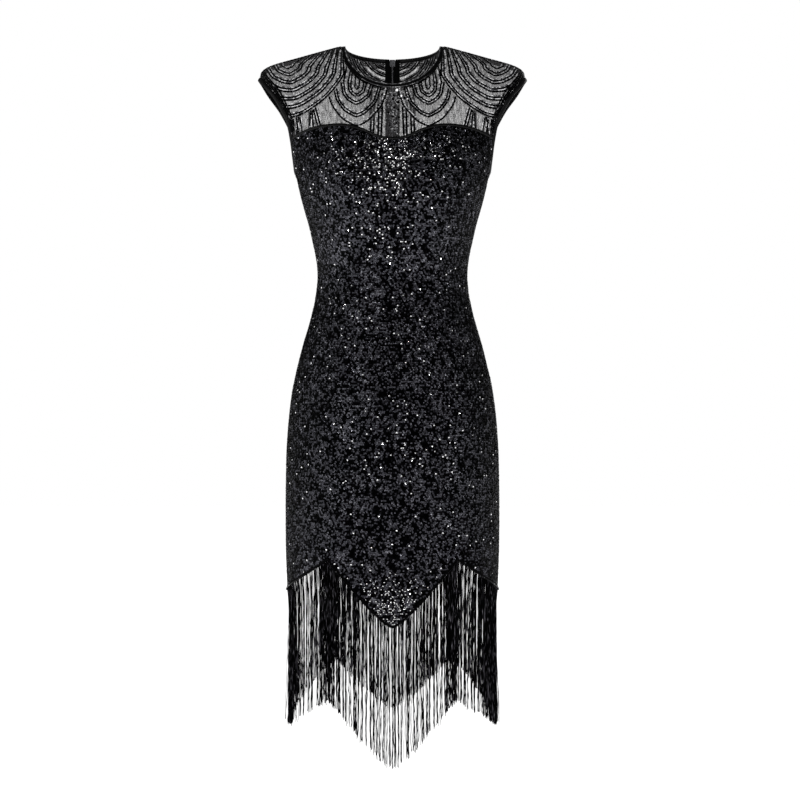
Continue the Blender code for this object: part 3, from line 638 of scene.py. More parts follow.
across = np.linspace(0, 1, BODY_COLUMNS + 1)
hem_levels = {behind: hem_height(180 - 90 * across if behind else 90 * across) - UNDERARM
              for behind in (False, True)}
top_levels = {behind: bodice_top(across, behind) for behind in (False, True)}
body_levels, yoke_levels = {}, {}
for behind in (False, True):
    body_levels[behind] = levels_between(hem_levels[behind], top_levels[behind], BODY_ROWS)
    yoke_levels[behind] = levels_between(top_levels[behind], np.ones_like(across), YOKE_ROWS)

points, normals = joined_halves(across, body_levels[False], -GROUND_DEPTH)
body_front = shell("body_front_ground", points, normals, CLOTH_WALL, GROUND, "sequin")
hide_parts("body_front")
back_bodies, back_yokes = {}, {}
for side, sign in SIDES:
    points, normals = half_panel(across, body_levels[True], True, sign, -GROUND_DEPTH)
    back_bodies[side] = shell(f"body_back_{side}_ground", points, normals, CLOTH_WALL, GROUND, "sequin",
                              outward=sign < 0)
    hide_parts(f"body_back_{side}")
points, _ = joined_halves(across, yoke_levels[False], -NET_DEPTH, creased=False)
yoke_front = net_sheet("yoke_front_net", points, True)
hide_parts("yoke_front")
for side, sign in SIDES:
    points, _ = half_panel(across, yoke_levels[True], True, sign, -NET_DEPTH, creased=False)
    back_yokes[side] = net_sheet(f"yoke_back_{side}_net", points, sign < 0)
    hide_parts(f"yoke_back_{side}")


# ---------------------------------------------------------------- beaded cords of the yoke
CORD_HALF_WIDTH = 0.00140
CORD_HEIGHT = 0.00095
CORD_SINK = 0.6
CORD_WANDER = 0.0007
WANDER_WAVES = ((3, 0.7), (7, 0.7), (13, 0.5))
BEAD_PITCH = 0.0021
BEAD_SWELL = 0.16
CORD_END_SHARE = 0.35
HIGHLIGHT_STREAK_LENGTHS = (0.012, 0.030)
# The shade of a cord: its spread, then the least share that a stretch keeps and what the lightest adds; the
# light stretches are painted highlights
CORD_SHADES = (1.0, 1.5)
HIGHLIGHT_STREAK_SHADES = (0.45, 0.75)
PHASES = (0, 6.28)
# Painted-highlight threads beside the cords: offset, half width and height
THREAD_OFFSET = 0.0023
THREAD_HALF_WIDTH = 0.00095
THREAD_HEIGHT = 0.0005
# How light the painted-highlight threads are, in front (False) and behind (True)
HIGHLIGHT_THREAD_LIGHTNESS = {False: 1.6, True: 0.7}
CORD_STEPS = {False: 0.0015, True: 0.0022}
VIEW_POINT = np.array((0.0, -2.0, -0.5136))
SHELL_GAP = 0.0022

# Nested shells, which hang from the shoulder line and from the neck: the place they hang from, their
# roundness (2 is an ellipse, less is more pointed), the turn of their axis outward, the point that their
# inner sides gather to, how far their sides run on up, the least distance from the centre line, and the
# half width and height of each cord, mostly in pairs
SHOULDER_SHELL = {
    "x": 0.159, "z": -0.0255, "power": 1.50, "phase": 0.4, "turn": 0.16, "gather_x": 0.080, "gather": 0.60,
    "rise": 0.036, "least_x": 0.004, "cords": (
        (0.0110, 0.0085), (0.0190, 0.0150), (0.0232, 0.0190), (0.0325, 0.0270), (0.0368, 0.0312),
        (0.0455, 0.0395), (0.0498, 0.0438), (0.0580, 0.0530), (0.0622, 0.0574), (0.0700, 0.0665),
        (0.0742, 0.0710), (0.0826, 0.0822), (0.0866, 0.0864)),
}
NECK_SHELL = {
    "x": 0.054, "z": -0.0560, "power": 1.70, "phase": 1.9, "turn": 0.0, "gather_x": 0.0, "gather": 0.0,
    "rise": 0.035, "least_x": 0.0035, "cords": (
        (0.0035, 0.0100), (0.0100, 0.0170), (0.0138, 0.0208), (0.0205, 0.0280), (0.0243, 0.0320),
        (0.0330, 0.0465), (0.0368, 0.0505), (0.0470, 0.0640)),
}
ARC_STEPS = 180
RISE_STEPS = 24
RISE_LEAN = 0.25
# Nested rounds below the back of the neck: height of their centre, first and last angle, radius of each cord
BACK_ROUNDS = {
    "z": -0.0010, "first": 2, "last": 115, "steps": 150, "cords": (
        0.0120, 0.0152, 0.0184, 0.0216, 0.0248, 0.0278, 0.0348, 0.0378, 0.0440, 0.0470, 0.0545, 0.0577,
        0.0609, 0.0641, 0.0673),
}
# Slanted fans under the shells: foot height, head height, and the foot and head across of each cord
FANS = (
    (-0.156, -0.062, ((0.0180, 0.0140), (0.0225, 0.0200), (0.0300, 0.0255), (0.0340, 0.0310))),
    (-0.142, -0.085, ((0.1030, 0.1190), (0.1075, 0.1230), (0.1180, 0.1230), (0.1255, 0.1240))),
    (-0.152, -0.085, ((0.1330, 0.1440), (0.1380, 0.1500), (0.1470, 0.1400), (0.1520, 0.1480))),
)
FAN_STEPS = 60


def clear_of(x, z, shell):
    """Whether each place lies outside a family of shells, with a gap."""
    half, height = shell["cords"][-1]
    power = shell["power"]
    over, up = x - shell["x"], z - shell["z"]
    cosine, sine = math.cos(shell["turn"]), math.sin(shell["turn"])
    u, v = over * cosine + up * sine, up * cosine - over * sine
    return (np.abs(u / half) ** power + np.abs(v / height) ** power) ** (1 / power) > 1 + SHELL_GAP / half


def hanging_arc(shell, half, height):
    """A U that hangs from its centre, with sides that run on up and gather on the inner side."""
    turn = np.radians(np.linspace(-90, 90, ARC_STEPS))
    wander = CORD_WANDER * sum(part * np.sin(waves * turn + shell["phase"] * waves + 30 * half)
                               for waves, part in WANDER_WAVES)
    bend = 2 / (2 - (2 - shell["power"]) * (half / shell["cords"][-1][0]))
    u = (half + wander) * np.sign(turn) * np.abs(np.sin(turn)) ** bend
    v = -(height + wander) * np.maximum(np.cos(turn), 0) ** bend
    up = np.linspace(0, shell["rise"], RISE_STEPS)[1:]
    lean = RISE_LEAN * half / max(height, half) * up
    gathered = shell["gather"] * (shell["gather_x"] - shell["x"] + half - RISE_LEAN * shell["rise"])
    inner = lean + gathered * up / shell["rise"]
    u = np.concatenate(((u[0] + inner)[::-1], u, u[-1] - lean))
    v = np.concatenate((v[0] + up[::-1], v, v[-1] + up))
    cosine, sine = math.cos(shell["turn"]), math.sin(shell["turn"])
    return shell["x"] + u * cosine - v * sine, shell["z"] + u * sine + v * cosine


def pattern_lines(behind):
    """Lines of one half of the yoke, as places across and up seen from the front, and which of them show."""
    lines = []
    for half, height in SHOULDER_SHELL["cords"]:
        x, z = hanging_arc(SHOULDER_SHELL, half, height)
        lines.append((x, z, x > SHOULDER_SHELL["least_x"]))
    if behind:
        turn = np.radians(np.linspace(BACK_ROUNDS["first"], BACK_ROUNDS["last"], BACK_ROUNDS["steps"]))
        arcs = [(radius * np.sin(turn), BACK_ROUNDS["z"] - radius * np.cos(turn))
                for radius in BACK_ROUNDS["cords"]]
    else:
        arcs = [hanging_arc(NECK_SHELL, half, height) for half, height in NECK_SHELL["cords"]]
    for x, z in arcs:
        lines.append((x, z, clear_of(x, z, SHOULDER_SHELL) & (x > NECK_SHELL["least_x"])))
    share = np.linspace(0, 1, FAN_STEPS)
    for low, high, cords in FANS:
        for foot, head in cords:
            x, z = foot + (head - foot) * share, low + (high - low) * share
            if behind:
                below = np.hypot(x, z - BACK_ROUNDS["z"]) > BACK_ROUNDS["cords"][-1] + SHELL_GAP
            else:
                below = clear_of(x, z, NECK_SHELL)
            lines.append((x, z, clear_of(x, z, SHOULDER_SHELL) & below))
    return lines


def tree_of(pieces):
    """A search tree of the faces of some pieces."""
    verts, faces = [], []
    for piece in pieces:
        start = len(verts)
        verts += [vert.co.copy() for vert in piece.data.vertices]
        faces += [[start + index for index in face.vertices] for face in piece.data.polygons]
    return BVHTree.FromPolygons(verts, faces)


def seen_at(tree, x, z):
    """Where the line of sight to a place in the middle plane meets a piece: direction, point and normal."""
    toward = Vector(np.array((x, 0.0, z)) - VIEW_POINT).normalized()
    return (toward, *tree.ray_cast(Vector(VIEW_POINT), toward)[:2])


def runs_on(tree, x, z, kept):
    """Lay a line on the net along the view: the unbroken runs of points that meet it, with normals."""
    runs, run = [], []
    for place_x, place_z, keep in zip(x, z, kept):
        point = normal = None
        if keep:
            _, point, normal = seen_at(tree, place_x, place_z)
        if point is not None:
            run.append((np.array(point), np.array(normal)))
        elif run:
            runs.append(run)
            run = []
    return [one for one in runs + [run] if len(one) > 4]


def laid_cord(points, normals, step=CORD_STEPS[False]):
    """Even steps along a run, with smooth outward normals and the lengths along it."""
    lengths = lengths_along(points)
    at = np.linspace(0, lengths[-1], max(int(lengths[-1] / step), 4))
    even, outs = resampled(at, lengths, points), resampled(at, lengths, normals)
    for _ in range(3):
        outs[1:-1] = unit(outs[:-2] + 2 * outs[1:-1] + outs[2:])
        even[1:-1] = (even[:-2] + 2 * even[1:-1] + even[2:]) / 4
    return even, unit(outs), at


def cord_mesh(name, cords, material, corners=6, width=CORD_HALF_WIDTH, height=CORD_HEIGHT, slot="net",
              highlight=1.0):
    """Round cords with a small swell for each bead, and light and dark stretches along them: the light
    stretches are painted highlights, scaled by the last argument.
    """
    verts, faces, uvs, shades, start = [], [], [], [], 0
    turn = corner_turns(corners)
    for points, outs, at in cords:
        sides = unit(np.cross(heading(points), outs))
        swell = 1 + BEAD_SWELL * np.cos(at * TURN / BEAD_PITCH)
        swell[0] = swell[-1] = CORD_END_SHARE
        highlight_streak = 0.5 + 0.5 * np.sin(at * TURN / random.uniform(*HIGHLIGHT_STREAK_LENGTHS) + random.uniform(*PHASES))
        stretch = HIGHLIGHT_STREAK_SHADES[0] + HIGHLIGHT_STREAK_SHADES[1] * highlight_streak
        shades.append(np.repeat(random.beta(*CORD_SHADES, len(points)) * stretch * highlight, corners))
        ring = round_offsets(sides, outs, turn, width, height) * swell[:, None, None]
        verts.append(((points + outs * height * CORD_SINK)[:, None] + ring).reshape(-1, 3))
        uvs.append(np.stack(np.broadcast_arrays(at[:, None], turn[None, :] * width), -1).reshape(-1, 2))
        faces.append(grid_faces(len(points), corners, start, closed=True))
        start += len(points) * corners
    verts, faces, uvs = (np.concatenate(part) for part in (verts, faces, uvs))
    made = mesh_object(name, verts, faces, material, slot, uvs)
    shade_attribute(made, np.concatenate(shades))
    return made


# Cords beside the edges: how far in from the seam each lies, and for the neck where it starts in front
NECK_ROWS = ((0.0022, 0.06), (0.0052, 0.14), (0.0084, 0.23))
SHOULDER_ROWS = (0.0, 0.0026, 0.0054, 0.0082, 0.0114)
SHOULDER_ROWS_SPAN = (NECK_SHARE - 0.02, 0.985)
ARMHOLE_ROWS = (0.0018, 0.0050, 0.0090)
BACK_ROWS_START = 0.03
ROW_STEPS = 90
ROW_PROBE = 0.03


def edge_cords(behind, sign):
    """Cords that run beside the neck, the shoulder seam and the armhole."""
    rows = [(row, BACK_ROWS_START if behind else start, NECK_SHARE) for row, start in NECK_ROWS]
    rows += [(row, *SHOULDER_ROWS_SPAN) for row in SHOULDER_ROWS]
    lines = []
    for row, start, end in rows:
        u = np.linspace(start, end, ROW_STEPS)
        rise = surface(u, 1.0, behind) - surface(u, 1.0 - ROW_PROBE, behind)
        metres = np.linalg.norm(rise, axis=1) / ROW_PROBE
        lines.append((u, 1.0 - row / metres))
    level = np.linspace(float(top_levels[behind][-1]) + 0.01, 0.99, ROW_STEPS)
    side = surface(1.0, level, behind) - surface(1.0 - ROW_PROBE, level, behind)
    metres = np.linalg.norm(side, axis=1) / ROW_PROBE
    lines += [(1.0 - row / metres, level) for row in ARMHOLE_ROWS]
    return [laid_cord(*cloth(u, v, behind, sign, creased=False)) for u, v in lines]


def yoke_cords(behind, nets):
    """The black cords of a yoke, and a grey painted-highlight thread on the upper side of each line of its
    pattern.
    """
    tree = tree_of(nets)
    cords, threads = [], []
    for x, z, kept in pattern_lines(behind):
        for sign in (-1, 1):
            for run in runs_on(tree, x * sign, z, kept):
                points, normals = (np.array(part) for part in zip(*run))
                outward = (normals[:, 1] * (1 if behind else -1)).sum() > 0
                even, outs, at = laid_cord(points, normals if outward else -normals, CORD_STEPS[behind])
                cords.append((even, outs, at))
                beside = unit(np.cross(np.gradient(even, axis=0), outs))
                upper_side = 1 if beside[:, 2].sum() > 0 else -1
                threads.append((even + beside * THREAD_OFFSET * upper_side, outs, at))
    for sign in (-1, 1):
        cords += edge_cords(behind, sign)
    side = "back" if behind else "front"
    return [cord_mesh(f"yoke_{side}_cords", cords, CORD),
            cord_mesh(f"yoke_{side}_painted_highlight_threads", threads, PAINTED_HIGHLIGHT, 4, THREAD_HALF_WIDTH, THREAD_HEIGHT,
                      highlight=HIGHLIGHT_THREAD_LIGHTNESS[behind])]


front_cords = yoke_cords(False, [yoke_front])
back_cords = yoke_cords(True, list(back_yokes.values()))

# Round beads below the middle of the neck: across, height and radius of each
CRYSTALS = (
    (0.0068, -0.0666, 0.0021), (0.0135, -0.0757, 0.0017), (0.0227, -0.0803, 0.0013),
    (0.0212, -0.0712, 0.0010), (-0.0123, -0.0733, 0.0012),
)
BLACK_BEADS = (
    (0.0020, -0.0750, 0.0020), (0.0012, -0.0797, 0.0022), (0.0088, -0.0853, 0.0022),
    (0.0088, -0.0740, 0.0014), (0.0183, -0.0789, 0.0023), (0.0247, -0.0737, 0.0016),
    (-0.0159, -0.0737, 0.0019), (-0.0088, -0.0701, 0.0019), (-0.0144, -0.0650, 0.0017),
    (-0.0211, -0.0897, 0.0018), (-0.0230, -0.0940, 0.0017), (-0.0164, -0.0946, 0.0019),
    (0.0006, -0.1073, 0.0020), (0.0090, -0.0960, 0.0019), (0.0030, -0.0930, 0.0019),
    (-0.0060, -0.1010, 0.0018), (0.0100, -0.1080, 0.0018), (0.0060, -0.1170, 0.0017),
    (-0.0040, -0.1200, 0.0017),
)
# Small grey beads scattered round them, partly a painted sheen of the net: how many, middle across and
# height, half sizes, least and most radius
SMALL_BEADS = (
    (190, 0.002, -0.0785, 0.0170, 0.0100, 0.0006, 0.0010),
    (90, 0.002, -0.1000, 0.0110, 0.0130, 0.0006, 0.0009),
    (60, 0.002, -0.1220, 0.0085, 0.0110, 0.0006, 0.0009),
)
SMALL_SPREAD = 0.6
SMALL_SHADES = (0.05, 0.55)
BEAD_SINK = 0.8
BEAD_SIDES = 8
BEAD_RISES = np.radians((-90, -45, 0, 45, 90))


def beads_on_yoke(name, rows, material, shades):
    """Small faceted beads laid on the front net along the view."""
    tree = tree_of([yoke_front])
    turns = corner_turns(BEAD_SIDES)
    ball = np.concatenate([stack(np.cos(rise) * np.cos(turns), np.cos(rise) * np.sin(turns), np.sin(rise))
                           for rise in BEAD_RISES])
    verts, kept = [], []
    for (x, z, radius), shade in zip(rows, shades):
        toward, hit, _ = seen_at(tree, x, z)
        if hit is not None:
            verts.append(np.array(hit - toward * radius * BEAD_SINK) + ball * radius)
            kept.append(shade)
    faces = repeated(grid_faces(len(BEAD_RISES), BEAD_SIDES, closed=True), len(verts), len(ball))
    made = mesh_object(name, np.concatenate(verts), faces, material, "net")
    shade_attribute(made, kept, len(ball))
    return made


small = [(random.normal(x, half_x * SMALL_SPREAD), random.normal(z, half_z * SMALL_SPREAD),
          random.uniform(least, most))
         for count, x, z, half_x, half_z, least, most in SMALL_BEADS for _ in range(count)]
middle_beads = [
    beads_on_yoke("yoke_crystals", CRYSTALS, GLOWING_CRYSTAL, np.ones(len(CRYSTALS))),
    beads_on_yoke("yoke_black_beads", BLACK_BEADS, CORD, np.zeros(len(BLACK_BEADS))),
    beads_on_yoke("yoke_small_beads", small, PAINTED_HIGHLIGHT, random.uniform(*SMALL_SHADES, len(small))),
]


# ---------------------------------------------------------------- sequins
SEQUIN_RADIUS = 0.00165
SEQUIN_RADIUS_SPREAD = 0.0001
SEQUIN_PITCH = 0.0027
SEQUIN_PITCH_SPREAD = 0.00025
SEQUIN_ROW = 0.0025
SEQUIN_ROW_SPREAD = 0.0002
SEQUIN_CORNERS = 5
SEQUIN_SHADES = (1.1, 0.9)
# Where a row starts, as shares of the pitch, in turn
BRICK_STARTS = (0.25, 0.75)
SEQUIN_CUP = 0.00042
SEQUIN_TILT = 0.14
SEQUIN_LIFT = 0.0004
HEM_MARGIN = 0.0015
TOP_MARGIN = 0.003
# Where the spacing of the rows above the underarm is measured: across, level
UPPER_PLACE = (0.5, 0.3)

SPARKLE_RADIUS = 0.0013
SPARKLE_LIFT = 0.0005
PAINTED_GLINTS_EVERYWHERE = 0.006
HEM_SPARKLE_RADIUS = 0.00095
HEM_SPARKLES = -0.780
# Painted glints: where near-white sequins gather, at the places where glints fall. columns: side (front -1,
# back 1), middle across and height, half sizes, share
PAINTED_GLINT_PATCHES = (
    (-1, -0.004, -0.185, 0.060, 0.028, 0.22), (-1, -0.010, -0.228, 0.042, 0.034, 0.11),
    (-1, -0.010, -0.305, 0.035, 0.050, 0.032), (-1, 0.090, -0.175, 0.030, 0.016, 0.09),
    (-1, 0.005, -0.420, 0.080, 0.040, 0.015), (-1, 0.004, -0.832, 0.044, 0.028, 0.36),
    (-1, -0.090, -0.790, 0.030, 0.012, 0.10), (-1, 0.090, -0.790, 0.030, 0.012, 0.10),
    (-1, 0.020, -0.600, 0.090, 0.060, 0.02), (1, 0.010, -0.220, 0.060, 0.050, 0.05),
    (1, -0.030, -0.560, 0.070, 0.060, 0.04), (1, 0.000, -0.800, 0.040, 0.024, 0.20),
)

# How much darker the sequins are everywhere (their own tone), and painted shade: darker on the skirt (from
# one height to another), down the middle (within a share across) and towards the side seams (from one share
# across to another)
DARKENING = 0.085
SKIRT_PAINTED_SHADE = 0.075
SKIRT = (-0.45, -0.65)
MIDDLE_PAINTED_SHADE = 0.07
MIDDLE_SHARE = 0.26
SIDE_PAINTED_SHADE = 0.17
SIDE_SHARES = (0.66, 0.84)
# Uneven patches. columns: amount, least and most wavelength, waves
PATCHES = ((0.10, 0.009, 0.022, 14), (0.05, 0.03, 0.08, 8))
BRIGHTEST_PLAIN = 0.93


def cups(centres, normals, radii):
    """Cupped sequins with flat facets, each tipped a little from the cloth's own direction."""
    count, corners = len(centres), SEQUIN_CORNERS
    side = unit(np.cross(np.array((0.0, 0.0, 1.0)), normals))
    rise = unit(np.cross(normals, side))
    lean = random.normal(0, SEQUIN_TILT, (count, 2))
    normal = unit(normals + side * lean[:, :1] + rise * lean[:, 1:])
    first = unit(side - normal * (side * normal).sum(axis=1, keepdims=True))
    second = np.cross(normal, first)
    turn = random.uniform(0, TURN, (count, 1)) + corner_turns(corners)
    rims = (centres[:, None, :] + round_offsets(first, second, turn) * radii[:, None, None]
            + normal[:, None, :] * SEQUIN_CUP)
    verts = np.concatenate((rims, centres[:, None, :]), axis=1)
    around = np.arange(corners)
    one = np.stack((np.full(corners, corners), around, np.roll(around, -1)), axis=1)
    return verts, repeated(one, count, corners + 1)


def sequin_places(behind):
    """Brick-like rows round one half of the body: level rows under the arm, lines of equal level above."""
    fine = np.linspace(0, 1, 240)
    lowest, highest = hem_levels[behind], top_levels[behind]
    upper_height = surface(*UPPER_PLACE, behind)[2] - UNDERARM
    levels = [*np.arange(HEM[:, 1].min() - UNDERARM, 0, SEQUIN_ROW),
              *np.arange(0.0001, highest.max(), SEQUIN_ROW / upper_height * UPPER_PLACE[1])]
    placed = []
    for number, level in enumerate(levels):
        lengths = lengths_along(surface(fine, level, behind))
        at = np.arange(SEQUIN_PITCH * BRICK_STARTS[number % 2], lengths[-1], SEQUIN_PITCH)
        u = np.interp(at + random.normal(0, SEQUIN_PITCH_SPREAD, len(at)), lengths, fine)
        keep = level > np.interp(u, across, lowest) + HEM_MARGIN
        if level > 0:
            keep &= level < np.interp(u, across, highest) - TOP_MARGIN
        placed.append(np.stack((u[keep], np.full(keep.sum(), level)), axis=1))
    placed = np.concatenate(placed)
    placed[:, 1] += random.normal(0, SEQUIN_ROW_SPREAD, len(placed))
    return placed.T


def blotches(points, least, most, waves):
    """A smooth uneven field from -1 to 1, from crossing waves of random direction."""
    total = np.zeros(len(points))
    for _ in range(waves):
        length = random.uniform(least, most)
        total += np.cos(points @ unit(random.normal(0, 1, 3)) * TURN / length + random.uniform(*PHASES))
    return total / math.sqrt(waves / 2)


def painted_glint_share(points, behind):
    """The share of the sequins at each place that are made near white, as painted glints."""
    share = np.full(len(points), PAINTED_GLINTS_EVERYWHERE)
    for side, x, z, half_x, half_z, amount in PAINTED_GLINT_PATCHES:
        if (side > 0) == behind:
            share += amount * np.exp(-((points[:, 0] - x) / half_x) ** 2 - ((points[:, 2] - z) / half_z) ** 2)
    return share


def tone_and_painted_shade(u, z):
    """How much darker the sequins are: their own tone everywhere, plus painted shade by the place across and
    the height.
    """
    skirt = smooth_step((SKIRT[0] - z) / (SKIRT[0] - SKIRT[1]))
    side = smooth_step((u - SIDE_SHARES[0]) / (SIDE_SHARES[1] - SIDE_SHARES[0]))
    return (DARKENING + SKIRT_PAINTED_SHADE * skirt + MIDDLE_PAINTED_SHADE * np.exp(-(u / MIDDLE_SHARE) ** 2)
            + SIDE_PAINTED_SHADE * side)


sequins = {}
for behind in (False, True):
    for side, sign in SIDES:
        u, levels = sequin_places(behind)
        centres, normals = cloth(u, levels, behind, sign, SEQUIN_LIFT)
        count = len(centres)
        # Painted glints: a share of the sequins, picked by place, are made smaller and near white
        bright = random.uniform(0, 1, count) < painted_glint_share(centres, behind)
        spark = np.where(centres[:, 2] < HEM_SPARKLES, HEM_SPARKLE_RADIUS, SPARKLE_RADIUS)
        radii = np.where(bright, spark, random.normal(SEQUIN_RADIUS, SEQUIN_RADIUS_SPREAD, count))
        centres = centres + normals * np.where(bright, SPARKLE_LIFT, 0)[:, None]
        name = f"sequins_{'back' if behind else 'front'}_{side}"
        sequins[name] = mesh_object(name, *cups(centres, normals, radii), SEQUIN, "sequin", smooth=False)
        patchy = sum(amount * blotches(centres, *waves) for amount, *waves in PATCHES)
        # The shade: a random tone and uneven patches, less the painted shade on the skirt, down the middle
        # and at the sides; the painted glints get the top shade
        shade = random.beta(*SEQUIN_SHADES, count) + patchy - tone_and_painted_shade(u, centres[:, 2])
        shade = np.where(bright, 1.0, np.minimum(shade, BRIGHTEST_PLAIN))
        shade_attribute(sequins[name], shade, SEQUIN_CORNERS + 1)


# ---------------------------------------------------------------- bindings
TUBE_CORNERS = 10
NECK_OPENING = 0.042
NECK_HALF_HEIGHT = 0.0011
NECK_OVERLAP = 0.0004
NECK_BEAD_LIFT = 0.0010
NECK_BEAD_WIDTH = 0.0005
NECK_BEAD_HEIGHT = 0.0004
NECK_BEAD_HIGHLIGHT = 0.7
ARMHOLE_STEPS = 70
ARMHOLE_IN = 0.0034
ARMHOLE_OUT = 0.0003
ARMHOLE_STRIP = (0.0032, 0.0013)
SWEETHEART_DROP = 0.004
SWEETHEART_LIFT = 0.0012
SWEETHEART_STRIP = (0.0021, 0.0011)


def tube(name, centres, sides, outs, half_width, half_depth, closed=False):
    """A rounded strip along a line: half_width along sides, half_depth along outs."""
    corners, rows = TUBE_CORNERS, len(centres)
    turn = corner_turns(corners)
    ring = round_offsets(sides, outs, turn, half_width, half_depth)
    uvs = np.stack(np.broadcast_arrays(lengths_along(centres)[:, None], turn[None, :] * half_width), axis=-1)
    faces = grid_faces(rows, corners, closed=True)
    if closed:
        index = np.arange(corners)
        last = (rows - 1) * corners + index
        closing = np.stack((last, np.roll(last, -1), np.roll(index, -1), index), axis=-1)
        faces = np.concatenate((faces, closing))
    made = mesh_object(name, centres[:, None, :] + ring, faces, BINDING, "binding", uvs)
    if not closed:
        close_ends(made.data, rows, corners)
    return made


def close_ends(mesh, rows, corners):
    """Close the two ends of a tube."""
    builder = bmesh.new()
    builder.from_mesh(mesh)
    builder.verts.ensure_lookup_table()
    builder.faces.new([builder.verts[k] for k in reversed(range(corners))])
    builder.faces.new([builder.verts[(rows - 1) * corners + k] for k in range(corners)])
    bmesh.ops.recalc_face_normals(builder, faces=builder.faces)
    builder.to_mesh(mesh)
    builder.free()


def round_neck(line):
    """A neck line from the centre back round the left, the front and the right, open at the zip."""
    parts = []
    for behind, sign, order in ((True, -1, 1), (False, -1, -1), (False, 1, 1), (True, 1, -1)):
        share = np.linspace(NECK_OPENING, 1, 40) if behind else np.linspace(0, 1, 60)
        points = neck(share, behind, line) * np.array((sign, 1, 1))
        parts.append(points[::order][1 if parts else 0:])
    return np.concatenate(parts)


seam, edge = round_neck(NECK_SEAM), round_neck(NECK_EDGE)
middle = (seam + edge) / 2
along = heading(middle)
wide = edge - seam
wide = wide - along * (wide * along).sum(axis=1, keepdims=True)
outs = turned_toward(unit(np.cross(along, wide)), middle * np.array((1, 1, 0)) + np.array((0, 0, 1)))
neck_binding = tube("neck_binding_rolled", middle, unit(wide), outs,
                    np.linalg.norm(wide, axis=1).mean() / 2 + NECK_OVERLAP, NECK_HALF_HEIGHT)
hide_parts("neck_binding")
# Thin grey bead lines along the binding's edge and seam: partly real beads, partly painted highlight
neck_beads = cord_mesh("neck_beads", [laid_cord(line + outs * NECK_BEAD_LIFT, outs) for line in (edge, seam)],
                       PAINTED_HIGHLIGHT, 4, NECK_BEAD_WIDTH, NECK_BEAD_HEIGHT, "binding", NECK_BEAD_HIGHLIGHT)


def armhole_ring(sign):
    """The armhole's line, with the directions into the hole and out of the cloth."""
    mirror = np.array((sign, 1, 1))
    share = np.linspace(0, 1, ARMHOLE_STEPS)
    loop = np.concatenate((armhole(share, False), armhole(share, True)[-2:0:-1])) * mirror
    ahead = unit(np.roll(loop, -1, axis=0) - np.roll(loop, 1, axis=0))
    front, back = (cloth(1.0, share, behind, sign, creased=False)[1] for behind in (False, True))
    normal = np.concatenate((front, back[-2:0:-1]))
    for _ in range(6):
        normal = unit(normal + np.roll(normal, 1, axis=0) + np.roll(normal, -1, axis=0))
    inward = turned_toward(np.cross(ahead, normal), ARMHOLE_MIDDLE * mirror - loop)
    return loop, unit(inward), normal


for side, sign in SIDES:
    loop, inward, normal = armhole_ring(sign)
    centres = loop + inward * ARMHOLE_IN + normal * ARMHOLE_OUT
    tube(f"armhole_binding_{side}_rolled", centres, inward, normal, *ARMHOLE_STRIP,
                                  closed=True)
    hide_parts(f"armhole_binding_{side}")

places = np.linspace(0, 1, 90)
tops = bodice_top(places, False) - SWEETHEART_DROP
halves = (cloth(places[:0:-1], tops[:0:-1], False, -1), cloth(places, tops, False, 1))
points, normals = (np.concatenate(pair) for pair in zip(*halves))
sides = unit(np.cross(normals, heading(points)))
points, normals, sides = (rows[2:-2] for rows in (points, normals, sides))
sweetheart_binding = tube("sweetheart_cord", points + normals * SWEETHEART_LIFT, sides, normals,
                          *SWEETHEART_STRIP)
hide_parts("sweetheart_binding")


# ---------------------------------------------------------------- fringe
HEADER_WIDTH = 0.0036
HEADER_WALL = 0.0015
HEADER_LIFT = 0.0019
HEADER_CROWN = 0.0025
HEM_BEAD_LIFT = 0.0024
HEM_BEAD_RADIUS = 0.0008
# Bunches of strands with loose ones between them, in front (False) and behind (True)
FRINGES = {False: {"bunches": 106, "strands": 4, "loose": 190, "steps": 29},
           True: {"bunches": 106, "strands": 4, "loose": 680, "steps": 18}}
FRINGE_END = 89.85
BUNCH_SPREAD = 0.32
BUNCH_JITTER = 0.18
LOOSE_LIGHTNESS = 0.14
LOOSE_THICKNESS = 0.75
LOOSE_LEAN = 0.0024
STRAND_RADIUS = 0.00052
STRAND_THICKNESS = (0.6, 1.4)
STRAND_SIDES = 3
STRAND_SWAY = 0.0009
OUTWARD_SWAY = 0.8
STRAND_FALL = 0.0036
STRAND_FALL_RATE = 10
STRAND_SHADES = (1.2, 2.2)
STRAND_ROOT_DROP = 0.0004
STRAND_ROOT_LIFT = 0.0010
STRAND_SHORTER = 0.003
STRAND_LENGTH_SPREAD = 0.0022
STRAND_LENGTHS = (0.19, 0.207)
# Degrees to either side of a place within which the hem's direction is read
HEM_PROBE = 0.4
# Bends along a strand. columns: half waves, share of the sway, own bends (False: the whole bunch's)
BENDS = ((1.3, 0.7, False), (3.1, 0.4, False), (3.1, 0.4, True), (9.3, 0.4, True), (17.0, 0.3, True))
# Where the strands crowd together. columns: angle from the middle (+ is +X), half width, share added
CROWDS = ((-44.5, 4.8, 3.2), (43, 3.6, 3.2), (-85, 4.0, 2.0), (78, 11.0, 2.8), (-28, 5.0, 0.3),
          (28, 5.0, 0.3), (58, 5.0, -0.2), (-64, 9.0, -0.35))


def hem_line(angles, behind, drop=0.0):
    """Points of the hem, level outward directions, and points a header's width higher; +X angles are +X."""
    real = 180 - np.abs(angles) if behind else np.abs(angles)
    z = hem_height(real)
    ahead = torso(np.minimum(real + HEM_PROBE, 180), z) - torso(np.maximum(real - HEM_PROBE, 0), z)
    out = unit(np.stack((ahead[:, 1], -ahead[:, 0], 0 * z), axis=1))
    mirror = np.where(angles > 0, 1.0, -1.0)[:, None] ** np.array((1, 0, 0))
    return torso(real, z - drop) * mirror, out * mirror, torso(real, z + HEADER_WIDTH) * mirror


